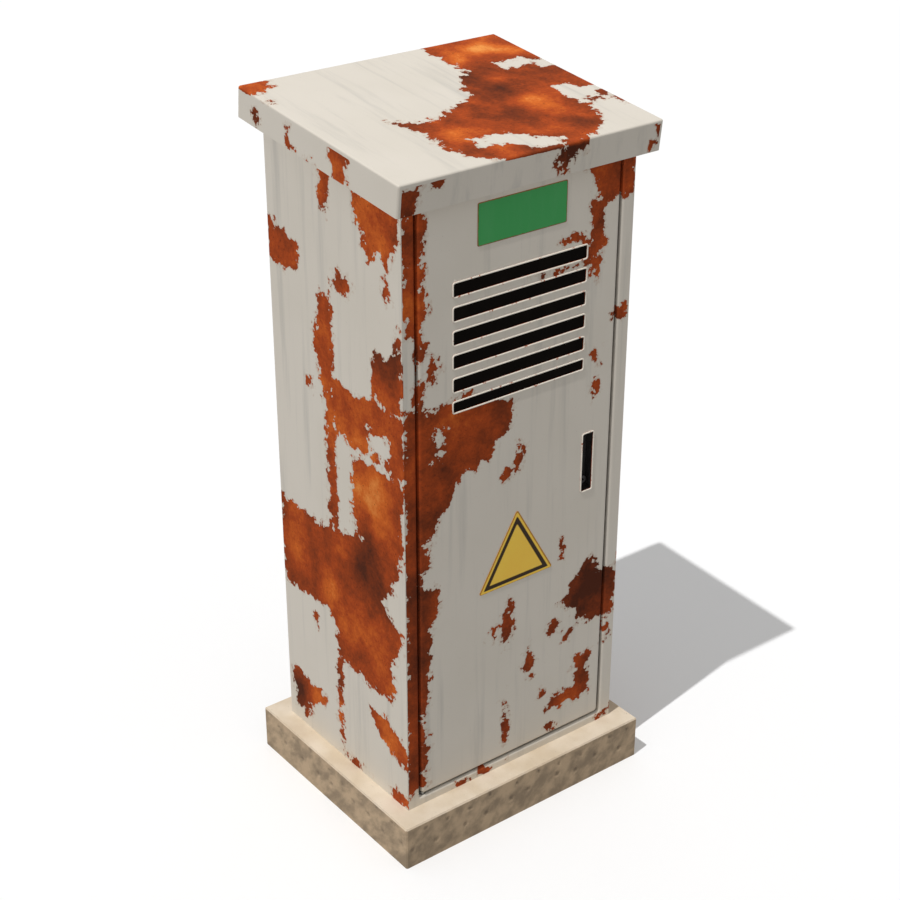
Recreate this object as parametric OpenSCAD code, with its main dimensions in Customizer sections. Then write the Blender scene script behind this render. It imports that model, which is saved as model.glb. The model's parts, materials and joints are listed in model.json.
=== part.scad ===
// Roadside utility cabinet: folded steel housing with a louvred door, standing on a concrete plinth.
// Millimetres. The origin is the centre of the plinth's underside, +Z is up and the door faces -Y.

/* [Plinth] */
// Width of the concrete plinth, left to right
plinth_w = 666; // [640:1:760]
// Depth of the concrete plinth, front to back
plinth_d = 564; // [530:1:660]
// Height of the plinth above the ground
plinth_h = 105; // [95:1:200]
// Width of the bevel along the plinth's top and upright edges
plinth_bevel = 3; // [1:0.5:8]
// Diameter of the cable duct through the plinth
duct_d = 150; // [135:1:170]

/* [Housing] */
// Width of the housing over its side panels
body_w = 580; // [560:1:640]
// Depth of the housing over its frame and back panel
body_d = 460; // [420:1:500]
// Height of the housing's front above the plinth
body_h = 1418; // [1330:1:1600]
// Thickness of the housing's sheet steel
sheet_t = 2; // [1.5:0.1:3]
// Outer radius of the housing's folds
fold_r = 4; // [3.2:0.1:6]
// Depth of the flanges that join the panels
join_flange = 30; // [20:1:40]

/* [Roof] */
// Slope of the roof, high at the back
roof_slope = 6.2; // [3:0.1:9]
// Overhang of the roof at each side
roof_side_overhang = 32; // [22:1:50]
// Overhang of the roof at the front and the back
roof_end_overhang = 38; // [28:1:60]
// Depth of the roof's fascia
fascia_h = 65; // [55:1:85]
// Width of the hem along the fascia's lower edge
fascia_hem = 12; // [6:1:16]
// Air gap between the roof sheet and the top plate
roof_gap = 20; // [12:1:28]
// Radius of the studs under the roof
roof_stud_r = 4; // [3:0.5:5]
// Distance of the roof studs from the housing's sides
roof_stud_inset = 90; // [60:1:120]

/* [Door] */
// Height of the frame's sill above the plinth
sill_h = 21.5; // [19:0.5:32]
// Width of the frame's stiles
stile_w = 32; // [26:1:40]
// Gap between the door and its frame
door_gap = 5; // [4:0.1:6.5]
// Room between the door's top and the fascia's lower edge
door_headroom = 8; // [5:1:20]
// Depth of the folded door
door_depth = 18; // [16:0.5:20]
// Thickness of the door's sheet steel
door_t = 1.5; // [1.2:0.1:2]
// Outer radius of the rounded edges on the door and its frame
edge_r = 7; // [5:0.5:8]
// Corner radius of the door
door_corner_r = 10; // [9:0.5:14]
// Width of the return along the back of the door's edge
door_return = 24; // [20:1:30]
// Width of the frame's landing behind the door
landing_w = 22; // [20:1:24]
// Height of the door gasket
gasket_t = 5; // [4:0.5:7]
// Width of the door gasket
gasket_w = 8; // [5:0.5:9]
// Distance of the gasket from the door's edge
gasket_inset = 8; // [8:0.5:10]
// Clearance between the gasket and the landing
gasket_clear = 0.3; // [0.2:0.05:0.6]

/* [Hinge] */
// Distance of the pivot axis from the door's edge
pivot_inset = 8; // [7:0.5:9]
// Distance of the pivot axis behind the door's face
pivot_depth = 11; // [10:0.5:12]
// Radius of the pivot pins
pin_r = 4; // [3:0.5:5]
// Running clearance round the pivot pins and the key spindle
running_clear = 0.05; // [0.02:0.01:0.08]
// Length of pin inside each pivot block
pin_grip = 12; // [8:0.5:14]

/* [Louvres] */
// Number of louvre slots
louvre_count = 6; // [4:1:7]
// Width of the louvre slots
louvre_w = 335; // [240:1:360]
// Height of the louvre slots
louvre_h = 27; // [18:0.5:30]
// Height of the lowest louvre slot
louvre_last_h = 21.5; // [14:0.5:27]
// Spacing of the louvre slots
louvre_pitch = 50.2; // [42:0.1:54]
// Distance from the door's top to the highest slot
louvre_drop = 166; // [150:1:220]
// Corner radius of the slots
slot_corner_r = 3; // [2:0.5:6]
// Radius of the rounded rim pressed round the slots
rim_r = 1.8; // [1:0.1:3]
// Thickness of the filter mat behind the slots
filter_t = 6; // [4:0.5:9]
// Margin of the filter mat round the slots
filter_margin = 16; // [10:1:20]

/* [Plates] */
// Width of the blank plate
plate_w = 222; // [120:1:300]
// Height of the blank plate
plate_h = 87; // [50:1:90]
// Distance from the door's top to the middle of the blank plate
plate_drop = 60.5; // [55:0.5:70]
// Side length of the triangular plate
triangle_side = 202; // [120:1:240]
// Height of the triangle's base above the door's lower edge
triangle_rise = 448; // [380:1:500]
// Thickness of the plates
plate_t = 1; // [0.5:0.1:2]

/* [Lock] */
// Width of the handle recess
recess_w = 28; // [24:1:34]
// Height of the handle recess
recess_h = 136; // [110:1:150]
// Depth of the handle recess
recess_depth = 19.5; // [17:0.5:21]
// Wall of the moulded handle dish
dish_wall = 3; // [2:0.5:4]
// Distance of the recess's middle from the door's edge
recess_inset = 62.5; // [59:0.5:67]
// Height of the recess's middle above the door's lower edge
recess_rise = 674; // [600:1:720]
// Height of the key spindle above the recess's lower edge
spindle_rise = 20; // [16:1:30]
// Radius of the spindle's shaft
spindle_r = 6; // [5:0.5:6.5]
// Module of the lock's teeth
gear_module = 1.5; // [1.4:0.1:1.6]
// Number of teeth on the pinion
pinion_teeth = 14; // [14:2:16]
// Width of the lock rods
rod_w = 10; // [8:0.5:11]
// Thickness of the lock rods and the pinion
rod_t = 6; // [4:0.5:7]
// Sliding clearance round the rods
slide_clear = 0.3; // [0.2:0.05:0.4]
// Distance that the rod tips stand clear of the landing at rest
rod_retreat = 5; // [3:0.5:8]

/* [Stiffeners] */
// Width of the crown of a door stiffener
hat_crown = 26; // [20:1:32]
// Width of a stiffener's side flange
hat_flange = 12; // [8:1:14]
// Depth of a stiffener
hat_depth = 12; // [9:0.5:13]

/* [Base] */
// Distance of the anchors from the housing's outside
anchor_inset = 60; // [55:1:80]
// Radius of the anchor studs
anchor_r = 6; // [5:0.5:8]
// Depth of the anchors in the concrete
anchor_embed = 80; // [50:1:90]
// Length of the opening in the floor pan
curb_l = 220; // [200:1:260]
// Width of the opening in the floor pan
curb_w = 140; // [120:1:180]
// Height of the curb round that opening
curb_h = 42; // [34:1:55]
// Width of the curb's upper flange
curb_flange = 18; // [14:1:24]
// Thickness of the gland plate
gland_plate_t = 3; // [2:0.5:5]
// Thread radius of the cable glands
gland_r = 16; // [12:0.5:16]
// Bore radius of the cable glands
gland_bore_r = 11; // [6:0.5:11]
// Spacing of the cable glands
gland_pitch = 46; // [43:1:50]

/* [Equipment] */
// Width of the backboard
board_w = 420; // [380:1:460]
// Height of the backboard
board_h = 880; // [820:1:960]
// Height of the backboard's lower edge above the plinth
board_rise = 315; // [250:1:360]
// Thickness of the backboard
board_t = 3; // [2:0.5:5]
// Length of the backboard's standoffs
standoff_l = 30; // [22:1:45]
// Length of the equipment rails
rail_l = 340; // [300:10:370]
// Distance of the upper rail below the backboard's top
upper_rail_drop = 220; // [160:1:260]
// Distance between the two rails
rail_spacing = 320; // [240:1:340]
// Width of one breaker
breaker_pitch = 18; // [17.5:0.1:20]
// Width of the main switch
switch_w = 54; // [45:1:60]
// Height of the rail-mounted devices
device_h = 85; // [78:1:95]
// Depth of the rail-mounted devices in front of the backboard
device_d = 66; // [60:1:72]
// Length of the neutral and earth bars
bar_l = 150; // [120:5:180]
// Number of clamp screws in each bar
bar_screw_count = 8; // [4:1:9]
// Number of terminal blocks on the lower rail
terminal_count = 8; // [4:1:12]

/* [Hidden] */
$fn = 64;
breaker_count = 4;
breaker_numbers = [1 : breaker_count];

// Finishes
paint = [0.80, 0.77, 0.70];
zinc = [0.62, 0.63, 0.62];
concrete = [0.68, 0.62, 0.54];
black_plastic = [0.10, 0.10, 0.10];
grey_plastic = [0.82, 0.82, 0.80];
rubber = [0.07, 0.07, 0.07];
brass = [0.72, 0.56, 0.26];
copper = [0.72, 0.42, 0.26];
terminal_grey = [0.72, 0.70, 0.62];
stop_grey = [0.45, 0.45, 0.44];
resin = [0.55, 0.12, 0.08];
plate_green = [0.19, 0.45, 0.24];
plate_yellow = [0.80, 0.65, 0.23];

// Small allowances shared by the assembly
snug = 0.05;
bolt_play = 0.4;
free_gap = 0.3;
screw_end = 4;
past = 1;

// Housing levels: the sloped top plate meets the front at front_top
inner_w = body_w - 2 * sheet_t;
inner_d = body_d - 2 * sheet_t;
front_top = plinth_h + body_h - sheet_t / cos(roof_slope);
slope_z = plinth_h + body_h + body_d / 2 * tan(roof_slope);
slope_d = body_d / cos(roof_slope);
pan_flange_h = sill_h - edge_r - free_gap;
flange_z = plinth_h + sill_h - sheet_t;

// Roof cap, in the frame of the sloped top plate
roof_w = body_w + 2 * roof_side_overhang;
roof_d = slope_d + 2 * roof_end_overhang;
roof_top = roof_gap + sheet_t;
roof_corner_r = fold_r + 1;
fascia_low = slope_z - roof_d / 2 * sin(roof_slope) + (roof_top - fascia_h) * cos(roof_slope);
roof_stud_x = body_w / 2 - roof_stud_inset;
roof_stud_y = body_d / 2 - roof_stud_inset;
roof_nut_h = 2 * roof_stud_r;
spacer_r = 2.2 * roof_stud_r;

// Door and frame, in the plane of the front: the door's back lies at -door_depth
door_w = body_w - 2 * stile_w - 2 * door_gap;
door_low = plinth_h + sill_h + door_gap;
door_top = fascia_low - door_headroom;
door_h = door_top - door_low;
door_mid = (door_low + door_top) / 2;
opening_w = door_w + 2 * door_gap;
opening_h = door_h + 2 * door_gap;
// Tighter than the door's corners, so that the door's edge swings clear of the frame
opening_corner_r = door_gap;
landing_front = -(door_depth + gasket_t + gasket_clear);
landing_back = landing_front - sheet_t;
landing_low = door_low - door_gap + landing_w;
landing_top = door_top + door_gap - landing_w;
skin_back = -door_t;
// The head and the sill end at this distance from the middle, where the stiles' corners begin
frame_joint_inset = 10;
frame_joint_x = opening_w / 2 - landing_w - frame_joint_inset;

// Concealed pivots, mirrored about the door's mid height
pivot_x = -door_w / 2 + pivot_inset;
pivot_boss_r = pin_r + 2;
collar_r = pivot_boss_r - 0.5;
pivot_notch = 2 * (pivot_boss_r + free_gap);
pivot_block_w = 2 * pivot_boss_r + 6;
bracket_t = 3;
bracket_rise = door_corner_r + 4;
bracket_l = 36;

// Louvre slots: the lowest one is cut off along its lower edge
louvre_top = door_top - louvre_drop;
function louvre_slot_h(i) = i == louvre_count - 1 ? louvre_last_h : louvre_h;
function louvre_slot_z(i) = louvre_top - i * louvre_pitch - louvre_slot_h(i) / 2;
louvre_low = louvre_slot_z(louvre_count - 1) - louvre_last_h / 2;
louvre_mid = (louvre_top + louvre_low) / 2;
filter_w = louvre_w + 2 * filter_margin;
filter_h = louvre_top - louvre_low + 2 * filter_margin;
filter_back = skin_back - filter_t;
filter_lip = filter_margin - 3;
filter_foot = 12;
filter_corner_r = 6;

// Lock train: the upper rod's rack is left of the pinion, the lower rod's is right of it
pitch_r = gear_module * pinion_teeth / 2;
tooth_pitch = PI * gear_module;
pressure_angle = 20;
addendum = 0.8 * gear_module;
dedendum = gear_module;
flank_play = 0.1;
recess_x = door_w / 2 - recess_inset;
recess_z = door_low + recess_rise;
spindle_z = recess_z - recess_h / 2 + spindle_rise;
dish_back = skin_back - recess_depth - dish_wall;
case_wall = 2.5;
rod_side_gap = 0.5;
rod_front = dish_back - case_wall - rod_side_gap;
rod_back = rod_front - rod_t;
cover_front = rod_back - rod_side_gap;
cover_back = cover_front - sheet_t;
rack_root = pitch_r + dedendum;
case_half_w = rack_root + rod_w + slide_clear + case_wall;
case_half_h = 25;
lock_screw_z = 19;
lock_screw_r = 2;
rod_offset = rack_root + rod_w / 2;
upper_rod_x = recess_x - rod_offset;
lower_rod_x = recess_x + rod_offset;
teeth_ahead = 2;
teeth_behind = 6;
key_r = 9;

// Door stiffeners, from the lowest up; the rods' guides stand on their crowns
hat_back = skin_back - hat_depth;
hat_end_gap = 4;
hat_l = door_w - 2 * (door_return + hat_end_gap);
filter_frame_half = filter_h / 2 + filter_foot;
hat_margin = 15;
hat_room = hat_crown / 2 + hat_flange + hat_margin;
lowest_hat_rise = 200;
recess_hat_drop = 137;
hat_heights = [
    door_low + lowest_hat_rise,
    recess_z - recess_h / 2 - recess_hat_drop,
    louvre_mid - filter_frame_half - hat_room,
    louvre_mid + filter_frame_half + hat_room];
guide_wall = 4;
guide_l = 14;

// Anchors, curb and glands
anchor_x = body_w / 2 - anchor_inset;
anchor_y = body_d / 2 - anchor_inset;
washer_t = 2.5;
washer_r = 2 * anchor_r;
nut_h = 1.7 * anchor_r;
nut_r = 1.85 * anchor_r;
pan_top = plinth_h + sheet_t;
curb_top = plinth_h + curb_h;
curb_corner_r = 8;
gland_plate_l = curb_l + 2 * curb_flange;
gland_plate_w = curb_w + 2 * curb_flange;
gland_plate_top = curb_top + gland_plate_t;
gland_flat = 2.36 * gland_r;
gland_hex_r = gland_flat / 2 / cos(30);
gland_thread_l = 14;
gland_base_h = 7;
gland_cap_h = 15;
gland_nut_h = 6;
gland_screw_r = 2.5;
gland_screw_x = curb_l / 2 + curb_flange / 2;
gland_screw_y = curb_w / 2 + curb_flange / 2;

// Backboard and rail-mounted devices, in the plane of the backboard's front
board_front = body_d / 2 - sheet_t - standoff_l - board_t;
board_low = plinth_h + board_rise;
board_mid = board_low + board_h / 2;
board_hole_inset = 20;
board_hole_x = board_w / 2 - board_hole_inset;
board_hole_z = board_h / 2 - board_hole_inset;
board_screw_r = 3;
standoff_r = 7;
screw_depth = 15;
upper_rail_z = board_low + board_h - upper_rail_drop;
lower_rail_z = upper_rail_z - rail_spacing;
rail_t = 1;
rail_depth = 7.5;
rail_web = 27;
rail_h = 35;
rail_screw_inset = 15;
rail_screw_x = rail_l / 2 - rail_screw_inset;
rail_screw_r = 2.5;
device_back = 3.5;
device_step = 0.72 * device_d;
device_nose = 45;
device_gap = 0.4;
row_l = switch_w + breaker_count * breaker_pitch;
switch_x = -row_l / 2 + switch_w / 2;
function breaker_x(i) = -row_l / 2 + switch_w + (i - 0.5) * breaker_pitch;
drum_r = 9;
drum_w = 10;
drum_axis = device_d - 4;
toggle_reach = 22;
toggle_t = 5;
toggle_tilt = 38;
knob_r = 17;
knob_shaft_r = 4;
knob_shaft_l = 8;
comb_t = 3;
comb_h = 10;
comb_depth = 26;
comb_tooth = 6;
comb_tooth_h = 7;
terminal_w = 8;
terminal_h = 52;
terminal_d = 44;
stop_w = 9;
bar_h = 12;
bar_t = 9;
neutral_drop = 140;
bar_spacing = 60;
neutral_z = lower_rail_z - neutral_drop;
earth_z = neutral_z - bar_spacing;
insulator_r = 9;
insulator_h = 22;
insulator_x = bar_l / 2 - insulator_r;
bar_screw_r = 2.5;

// Places children in the front plane: x to the right, y up, z out of the cabinet
module on_front() {
    translate([0, -body_d / 2, 0])
        rotate([90, 0, 0])
            children();
}

// Places children on the backboard's front at height z: x to the right, y up, z towards the door
module on_board(z) {
    translate([0, board_front, z])
        rotate([90, 0, 0])
            children();
}

// Places children on the sloped top plate's upper face
module on_slope() {
    translate([0, 0, slope_z])
        rotate([roof_slope, 0, 0])
            children();
}

// Repeats children at the four corners of a rectangle of half sizes x and y
module at_corners(x, y) {
    for (sx = [-1, 1], sy = [-1, 1])
        translate([sx * x, sy * y, 0])
            children();
}

// Repeats children at the door's lower pivot and, mirrored, at its upper one
module at_pivots() {
    translate([pivot_x, -body_d / 2 + pivot_depth, door_mid])
        for (flip = [0, 1])
            mirror([0, 0, flip])
                translate([0, 0, -door_h / 2])
                    children();
}

// Extrudes a profile of height and depth along X, centred
module along_x(length) {
    rotate([90, 0, 90])
        linear_extrude(length, center = true)
            children();
}

// Rectangle with round corners
module rounded_rect(w, h, r) {
    square([w - 2 * r, h], center = true);
    square([w, h - 2 * r], center = true);
    for (sx = [-1, 1], sy = [-1, 1])
        translate([sx * (w / 2 - r), sy * (h / 2 - r)])
            circle(r);
}

// Flat ring of constant width inside a rounded rectangle
module ring_plate(w, h, r, width, inner_r) {
    difference() {
        rounded_rect(w, h, r);
        rounded_rect(w - 2 * width, h - 2 * width, inner_r);
    }
}

// Quarter of a bent sheet, centred on its bend axis
module bend(r, t) {
    intersection() {
        difference() {
            circle(r);
            circle(r - t);
        }
        square(r);
    }
}

// Sweeps a profile round a rounded rectangle: profile x points outward, profile y along Z
module swept_frame(w, h, r) {
    for (turn = [0, 180])
        rotate(turn) {
            translate([w / 2, 0, 0])
                rotate([90, 0, 0])
                    linear_extrude(h - 2 * r, center = true)
                        children();
            translate([0, h / 2, 0])
                rotate([90, 0, 90])
                    linear_extrude(w - 2 * r, center = true)
                        children();
        }
    for (corner = [[1, 1, 0], [-1, 1, 90], [-1, -1, 180], [1, -1, 270]])
        translate([corner[0] * (w / 2 - r), corner[1] * (h / 2 - r), 0])
            rotate(corner[2])
                rotate_extrude(angle = 90)
                    translate([r, 0])
                        children();
}

// Rounded rim pressed outward round a slot
module slot_rim(w, h) {
    swept_frame(w + 2 * rim_r, h + 2 * rim_r, slot_corner_r + rim_r)
        intersection() {
            circle(rim_r);
            translate([-rim_r, 0])
                square([2 * rim_r, rim_r]);
        }
}

// Hexagonal prism across corners of radius r
module hex(r, h) {
    cylinder(h, r = r, $fn = 6);
}

// Screw with a flat round head standing on z = 0 and its shank below
module pan_screw(r, length) {
    cylinder(1.2 * r, r = 1.8 * r);
    translate([0, 0, -length])
        cylinder(length, r = r);
}

// Plan of the plinth with its upright edges bevelled
module bevelled_plan() {
    x = plinth_w / 2;
    y = plinth_d / 2;
    b = plinth_bevel;
    polygon([[x, -y + b], [x, y - b], [x - b, y], [-x + b, y], [-x, y - b], [-x, -y + b], [-x + b, -y],
        [x - b, -y]]);
}

// Elevation of the plinth with its upper edges bevelled
module bevelled_elevation(w) {
    x = w / 2;
    b = plinth_bevel;
    polygon([[-x, 0], [x, 0], [x, plinth_h - b], [x - b, plinth_h], [-x + b, plinth_h], [-x, plinth_h - b]]);
}

module concrete_plinth() {
    color(concrete)
        difference() {
            intersection() {
                linear_extrude(plinth_h)
                    bevelled_plan();
                along_x(plinth_w)
                    bevelled_elevation(plinth_d);
                rotate([90, 0, 0])
                    linear_extrude(plinth_d, center = true)
                        bevelled_elevation(plinth_w);
            }
            translate([0, 0, -past])
                cylinder(plinth_h + 2 * past, d = duct_d);
            at_corners(anchor_x, anchor_y)
                translate([0, 0, plinth_h - anchor_embed])
                    cylinder(anchor_embed + past, r = anchor_r + snug);
        }
}

module anchor_studs() {
    color(zinc)
        at_corners(anchor_x, anchor_y)
            translate([0, 0, plinth_h - anchor_embed])
                cylinder(anchor_embed + sheet_t + washer_t + nut_h + anchor_r, r = anchor_r);
}

module anchor_washers() {
    color(zinc)
        at_corners(anchor_x, anchor_y)
            translate([0, 0, pan_top])
                difference() {
                    cylinder(washer_t, r = washer_r);
                    translate([0, 0, -past])
                        cylinder(washer_t + 2 * past, r = anchor_r + bolt_play);
                }
}

module anchor_nuts() {
    color(zinc)
        at_corners(anchor_x, anchor_y)
            translate([0, 0, pan_top + washer_t])
                difference() {
                    hex(nut_r, nut_h);
                    translate([0, 0, -past])
                        cylinder(nut_h + 2 * past, r = anchor_r + snug);
                }
}

// Folded floor tray with an upstand all round and a raised curb at its cable opening
module floor_pan() {
    pan_corner_r = fold_r + 2;
    color(zinc)
        translate([0, 0, plinth_h])
            difference() {
                union() {
                    linear_extrude(sheet_t)
                        rounded_rect(inner_w - 2 * fold_r, inner_d - 2 * fold_r, pan_corner_r - fold_r);
                    swept_frame(inner_w, inner_d, pan_corner_r) {
                        translate([-fold_r, fold_r])
                            mirror([0, 1])
                                bend(fold_r, sheet_t);
                        translate([-sheet_t, fold_r])
                            square([sheet_t, pan_flange_h - fold_r]);
                    }
                    linear_extrude(curb_h)
                        rounded_rect(curb_l + 2 * sheet_t, curb_w + 2 * sheet_t, curb_corner_r + sheet_t);
                    translate([0, 0, curb_h - sheet_t])
                        linear_extrude(sheet_t)
                            rounded_rect(gland_plate_l, gland_plate_w, curb_corner_r);
                }
                translate([0, 0, -past])
                    linear_extrude(curb_h + 2 * past)
                        rounded_rect(curb_l, curb_w, curb_corner_r);
                at_corners(anchor_x, anchor_y)
                    translate([0, 0, -past])
                        cylinder(sheet_t + 2 * past, r = anchor_r + bolt_play);
                at_corners(gland_screw_x, gland_screw_y)
                    translate([0, 0, curb_h - sheet_t - past])
                        cylinder(sheet_t + 2 * past, r = gland_screw_r + snug);
            }
}

// Repeats children at the cable glands, on the gland plate's upper face
module at_glands() {
    for (i = [-1 : 1])
        translate([i * gland_pitch, 0, gland_plate_top])
            children();
}

module gland_plate() {
    color(zinc)
        difference() {
            translate([0, 0, curb_top])
                linear_extrude(gland_plate_t)
                    rounded_rect(gland_plate_l, gland_plate_w, curb_corner_r);
            at_glands()
                translate([0, 0, -gland_plate_t - past])
                    cylinder(gland_plate_t + 2 * past, r = gland_r + bolt_play);
            at_corners(gland_screw_x, gland_screw_y)
                translate([0, 0, curb_top - past])
                    cylinder(gland_plate_t + 2 * past, r = gland_screw_r + bolt_play);
        }
}

module gland_screws() {
    color(zinc)
        at_corners(gland_screw_x, gland_screw_y)
            translate([0, 0, gland_plate_top])
                pan_screw(gland_screw_r, gland_plate_t + sheet_t + screw_end);
}

module cable_glands() {
    color(black_plastic)
        at_glands()
            difference() {
                union() {
                    translate([0, 0, -gland_thread_l])
                        cylinder(gland_thread_l, r = gland_r);
                    rotate(30)
                        hex(gland_hex_r, gland_base_h);
                    translate([0, 0, gland_base_h])
                        rotate_extrude()
                            polygon([[0, 0], [gland_flat / 2 - 1, 0], [gland_flat / 2 - 1, gland_cap_h / 2],
                                [gland_bore_r + 3, gland_cap_h], [0, gland_cap_h]]);
                }
                translate([0, 0, -gland_thread_l - past])
                    cylinder(gland_thread_l + gland_base_h + gland_cap_h + 2 * past, r = gland_bore_r);
            }
}

module gland_locknuts() {
    color(black_plastic)
        at_glands()
            translate([0, 0, -gland_plate_t - gland_nut_h])
                difference() {
                    rotate(30)
                        hex(gland_hex_r, gland_nut_h);
                    translate([0, 0, -past])
                        cylinder(gland_nut_h + 2 * past, r = gland_r + snug);
                }
}

// Face of the front frame, from the plinth up to the sloped top plate
module frame_band() {
    difference() {
        translate([-inner_w / 2, plinth_h])
            square([inner_w, front_top - plinth_h]);
        translate([0, door_mid])
            rounded_rect(opening_w + 2 * edge_r, opening_h + 2 * edge_r, opening_corner_r + edge_r);
    }
}

// Welded front ring: face, rounded inner edge, wall round the door and the landing that its gasket meets
module front_ring() {
    wall_l = -landing_back - edge_r;
    difference() {
        on_front() {
            translate([0, 0, -sheet_t])
                linear_extrude(sheet_t)
                    frame_band();
            translate([0, door_mid, 0])
                swept_frame(opening_w, opening_h, opening_corner_r) {
                    translate([edge_r, -edge_r])
                        mirror([1, 0])
                            bend(edge_r, sheet_t);
                    translate([0, -edge_r - wall_l])
                        square([sheet_t, wall_l]);
                }
            translate([0, door_mid, landing_back])
                linear_extrude(sheet_t)
                    ring_plate(opening_w + sheet_t, opening_h + sheet_t, opening_corner_r + sheet_t / 2,
                        landing_w + sheet_t / 2, slot_corner_r);
            for (side = [-1, 1])
                translate([side * (inner_w - sheet_t) / 2, (flange_z + front_top) / 2, landing_back / 2])
                    cube([sheet_t, front_top - flange_z, -landing_back], center = true);
        }
        at_pivots()
            translate([-pivot_notch / 2, -pivot_notch / 2, -door_gap - 2 * sheet_t])
                cube([pivot_notch, pivot_notch, 2 * sheet_t + door_gap]);
    }
}

// Part of the front ring between two distances from the middle and two heights
module ring_member(left, right, low, high) {
    color(paint)
        intersection() {
            front_ring();
            translate([left, -body_d, low])
                cube([right - left, body_d, high - low]);
        }
}

module left_stile() {
    ring_member(-body_w, -frame_joint_x, 0, front_top + past);
}

module right_stile() {
    ring_member(frame_joint_x, body_w, 0, front_top + past);
}

module head_rail() {
    ring_member(-frame_joint_x, frame_joint_x, door_mid, front_top + past);
}

module sill_rail() {
    ring_member(-frame_joint_x, frame_joint_x, 0, door_mid);
}

// Upright side sheet whose top follows the roof's slope
module side_panel(side) {
    y = body_d / 2;
    back_top = front_top + body_d * tan(roof_slope);
    color(paint)
        translate([side * (body_w - sheet_t) / 2, 0, 0])
            along_x(sheet_t)
                polygon([[-y, plinth_h], [y, plinth_h], [y, back_top], [-y, front_top]]);
}

module left_panel() {
    side_panel(-1);
}

module right_panel() {
    side_panel(1);
}

// Back sheet folded forward along both sides
module back_panel() {
    back_top = front_top + (body_d - sheet_t) * tan(roof_slope);
    color(paint)
        difference() {
            translate([0, body_d / 2 - join_flange, plinth_h])
                linear_extrude(back_top - plinth_h)
                    intersection() {
                        difference() {
                            rounded_rect(inner_w, 2 * join_flange, fold_r);
                            rounded_rect(inner_w - 2 * sheet_t, 2 * (join_flange - sheet_t),
                                fold_r - sheet_t);
                        }
                        translate([-inner_w / 2, 0])
                            square([inner_w, join_flange]);
                    }
            back_fold_trim();
        }
}

// Room cut from the back panel's side folds for the floor pan and the sloped top plate
module back_fold_trim() {
    fold_front = body_d / 2 - join_flange - past;
    fold_depth = join_flange + past - sheet_t;
    roof_drop = (join_flange + past) * tan(roof_slope) + sheet_t;
    back_top = front_top + (body_d - sheet_t) * tan(roof_slope);
    translate([-body_w / 2, fold_front, plinth_h - past])
        cube([body_w, fold_depth, flange_z - plinth_h + past]);
    translate([-body_w / 2, fold_front, back_top - roof_drop])
        cube([body_w, fold_depth, roof_drop + past]);
}

// Sloped sheet over the housing, folded down inside the side panels
module top_plate() {
    fold_end_gap = 6;
    fold_l = slope_d - 2 * (join_flange + fold_end_gap);
    fold_h = 22;
    color(paint)
        on_slope()
            difference() {
                union() {
                    translate([-body_w / 2, -slope_d / 2, -sheet_t])
                        cube([body_w, slope_d, sheet_t]);
                    for (side = [-1, 1])
                        translate([side * (inner_w - sheet_t) / 2, 0, -fold_h / 2])
                            cube([sheet_t, fold_l, fold_h], center = true);
                }
                at_corners(roof_stud_x, roof_stud_y)
                    translate([0, 0, -sheet_t - past])
                        cylinder(sheet_t + 2 * past, r = roof_stud_r + bolt_play);
            }
}

// Roof tray: sheet, rounded folds, fascia and hem, with studs under it
module roof_cap() {
    color(paint)
        on_slope() {
            translate([0, 0, roof_top]) {
                translate([0, 0, -sheet_t])
                    linear_extrude(sheet_t)
                        rounded_rect(roof_w - 2 * fold_r, roof_d - 2 * fold_r, roof_corner_r - fold_r);
                swept_frame(roof_w, roof_d, roof_corner_r) {
                    translate([-fold_r, -fold_r])
                        bend(fold_r, sheet_t);
                    translate([-sheet_t, -fascia_h])
                        square([sheet_t, fascia_h - fold_r]);
                }
                translate([0, 0, -fascia_h])
                    linear_extrude(sheet_t)
                        ring_plate(roof_w - sheet_t, roof_d - sheet_t, roof_corner_r - sheet_t / 2,
                            fascia_hem - sheet_t / 2, sheet_t);
            }
            at_corners(roof_stud_x, roof_stud_y)
                translate([0, 0, -sheet_t - roof_nut_h - roof_stud_r])
                    cylinder(roof_gap + sheet_t + roof_nut_h + roof_stud_r, r = roof_stud_r);
        }
}

module roof_spacers() {
    color(zinc)
        on_slope()
            at_corners(roof_stud_x, roof_stud_y)
                difference() {
                    cylinder(roof_gap, r = spacer_r);
                    translate([0, 0, -past])
                        cylinder(roof_gap + 2 * past, r = roof_stud_r + bolt_play);
                }
}

module roof_nuts() {
    color(zinc)
        on_slope()
            at_corners(roof_stud_x, roof_stud_y)
                translate([0, 0, -sheet_t - roof_nut_h])
                    difference() {
                        hex(1.85 * roof_stud_r, roof_nut_h);
                        translate([0, 0, -past])
                            cylinder(roof_nut_h + 2 * past, r = roof_stud_r + snug);
                    }
}

// Bored blocks behind the frame's wall that carry the door's pivot pins
module pivot_blocks() {
    wall_back = -door_gap - sheet_t;
    block_y = edge_r - pivot_depth + 1;
    block_d = -landing_back - edge_r - 1;
    color(zinc)
        at_pivots()
            difference() {
                union() {
                    translate([-pivot_block_w / 2, block_y, wall_back - pin_grip])
                        cube([pivot_block_w, block_d, pin_grip]);
                    translate([0, 0, wall_back - pin_grip])
                        cylinder(pin_grip + sheet_t, r = pivot_boss_r);
                }
                translate([0, 0, wall_back - pin_grip - past])
                    cylinder(pin_grip + sheet_t + 2 * past, r = pin_r + running_clear);
            }
}

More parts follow.
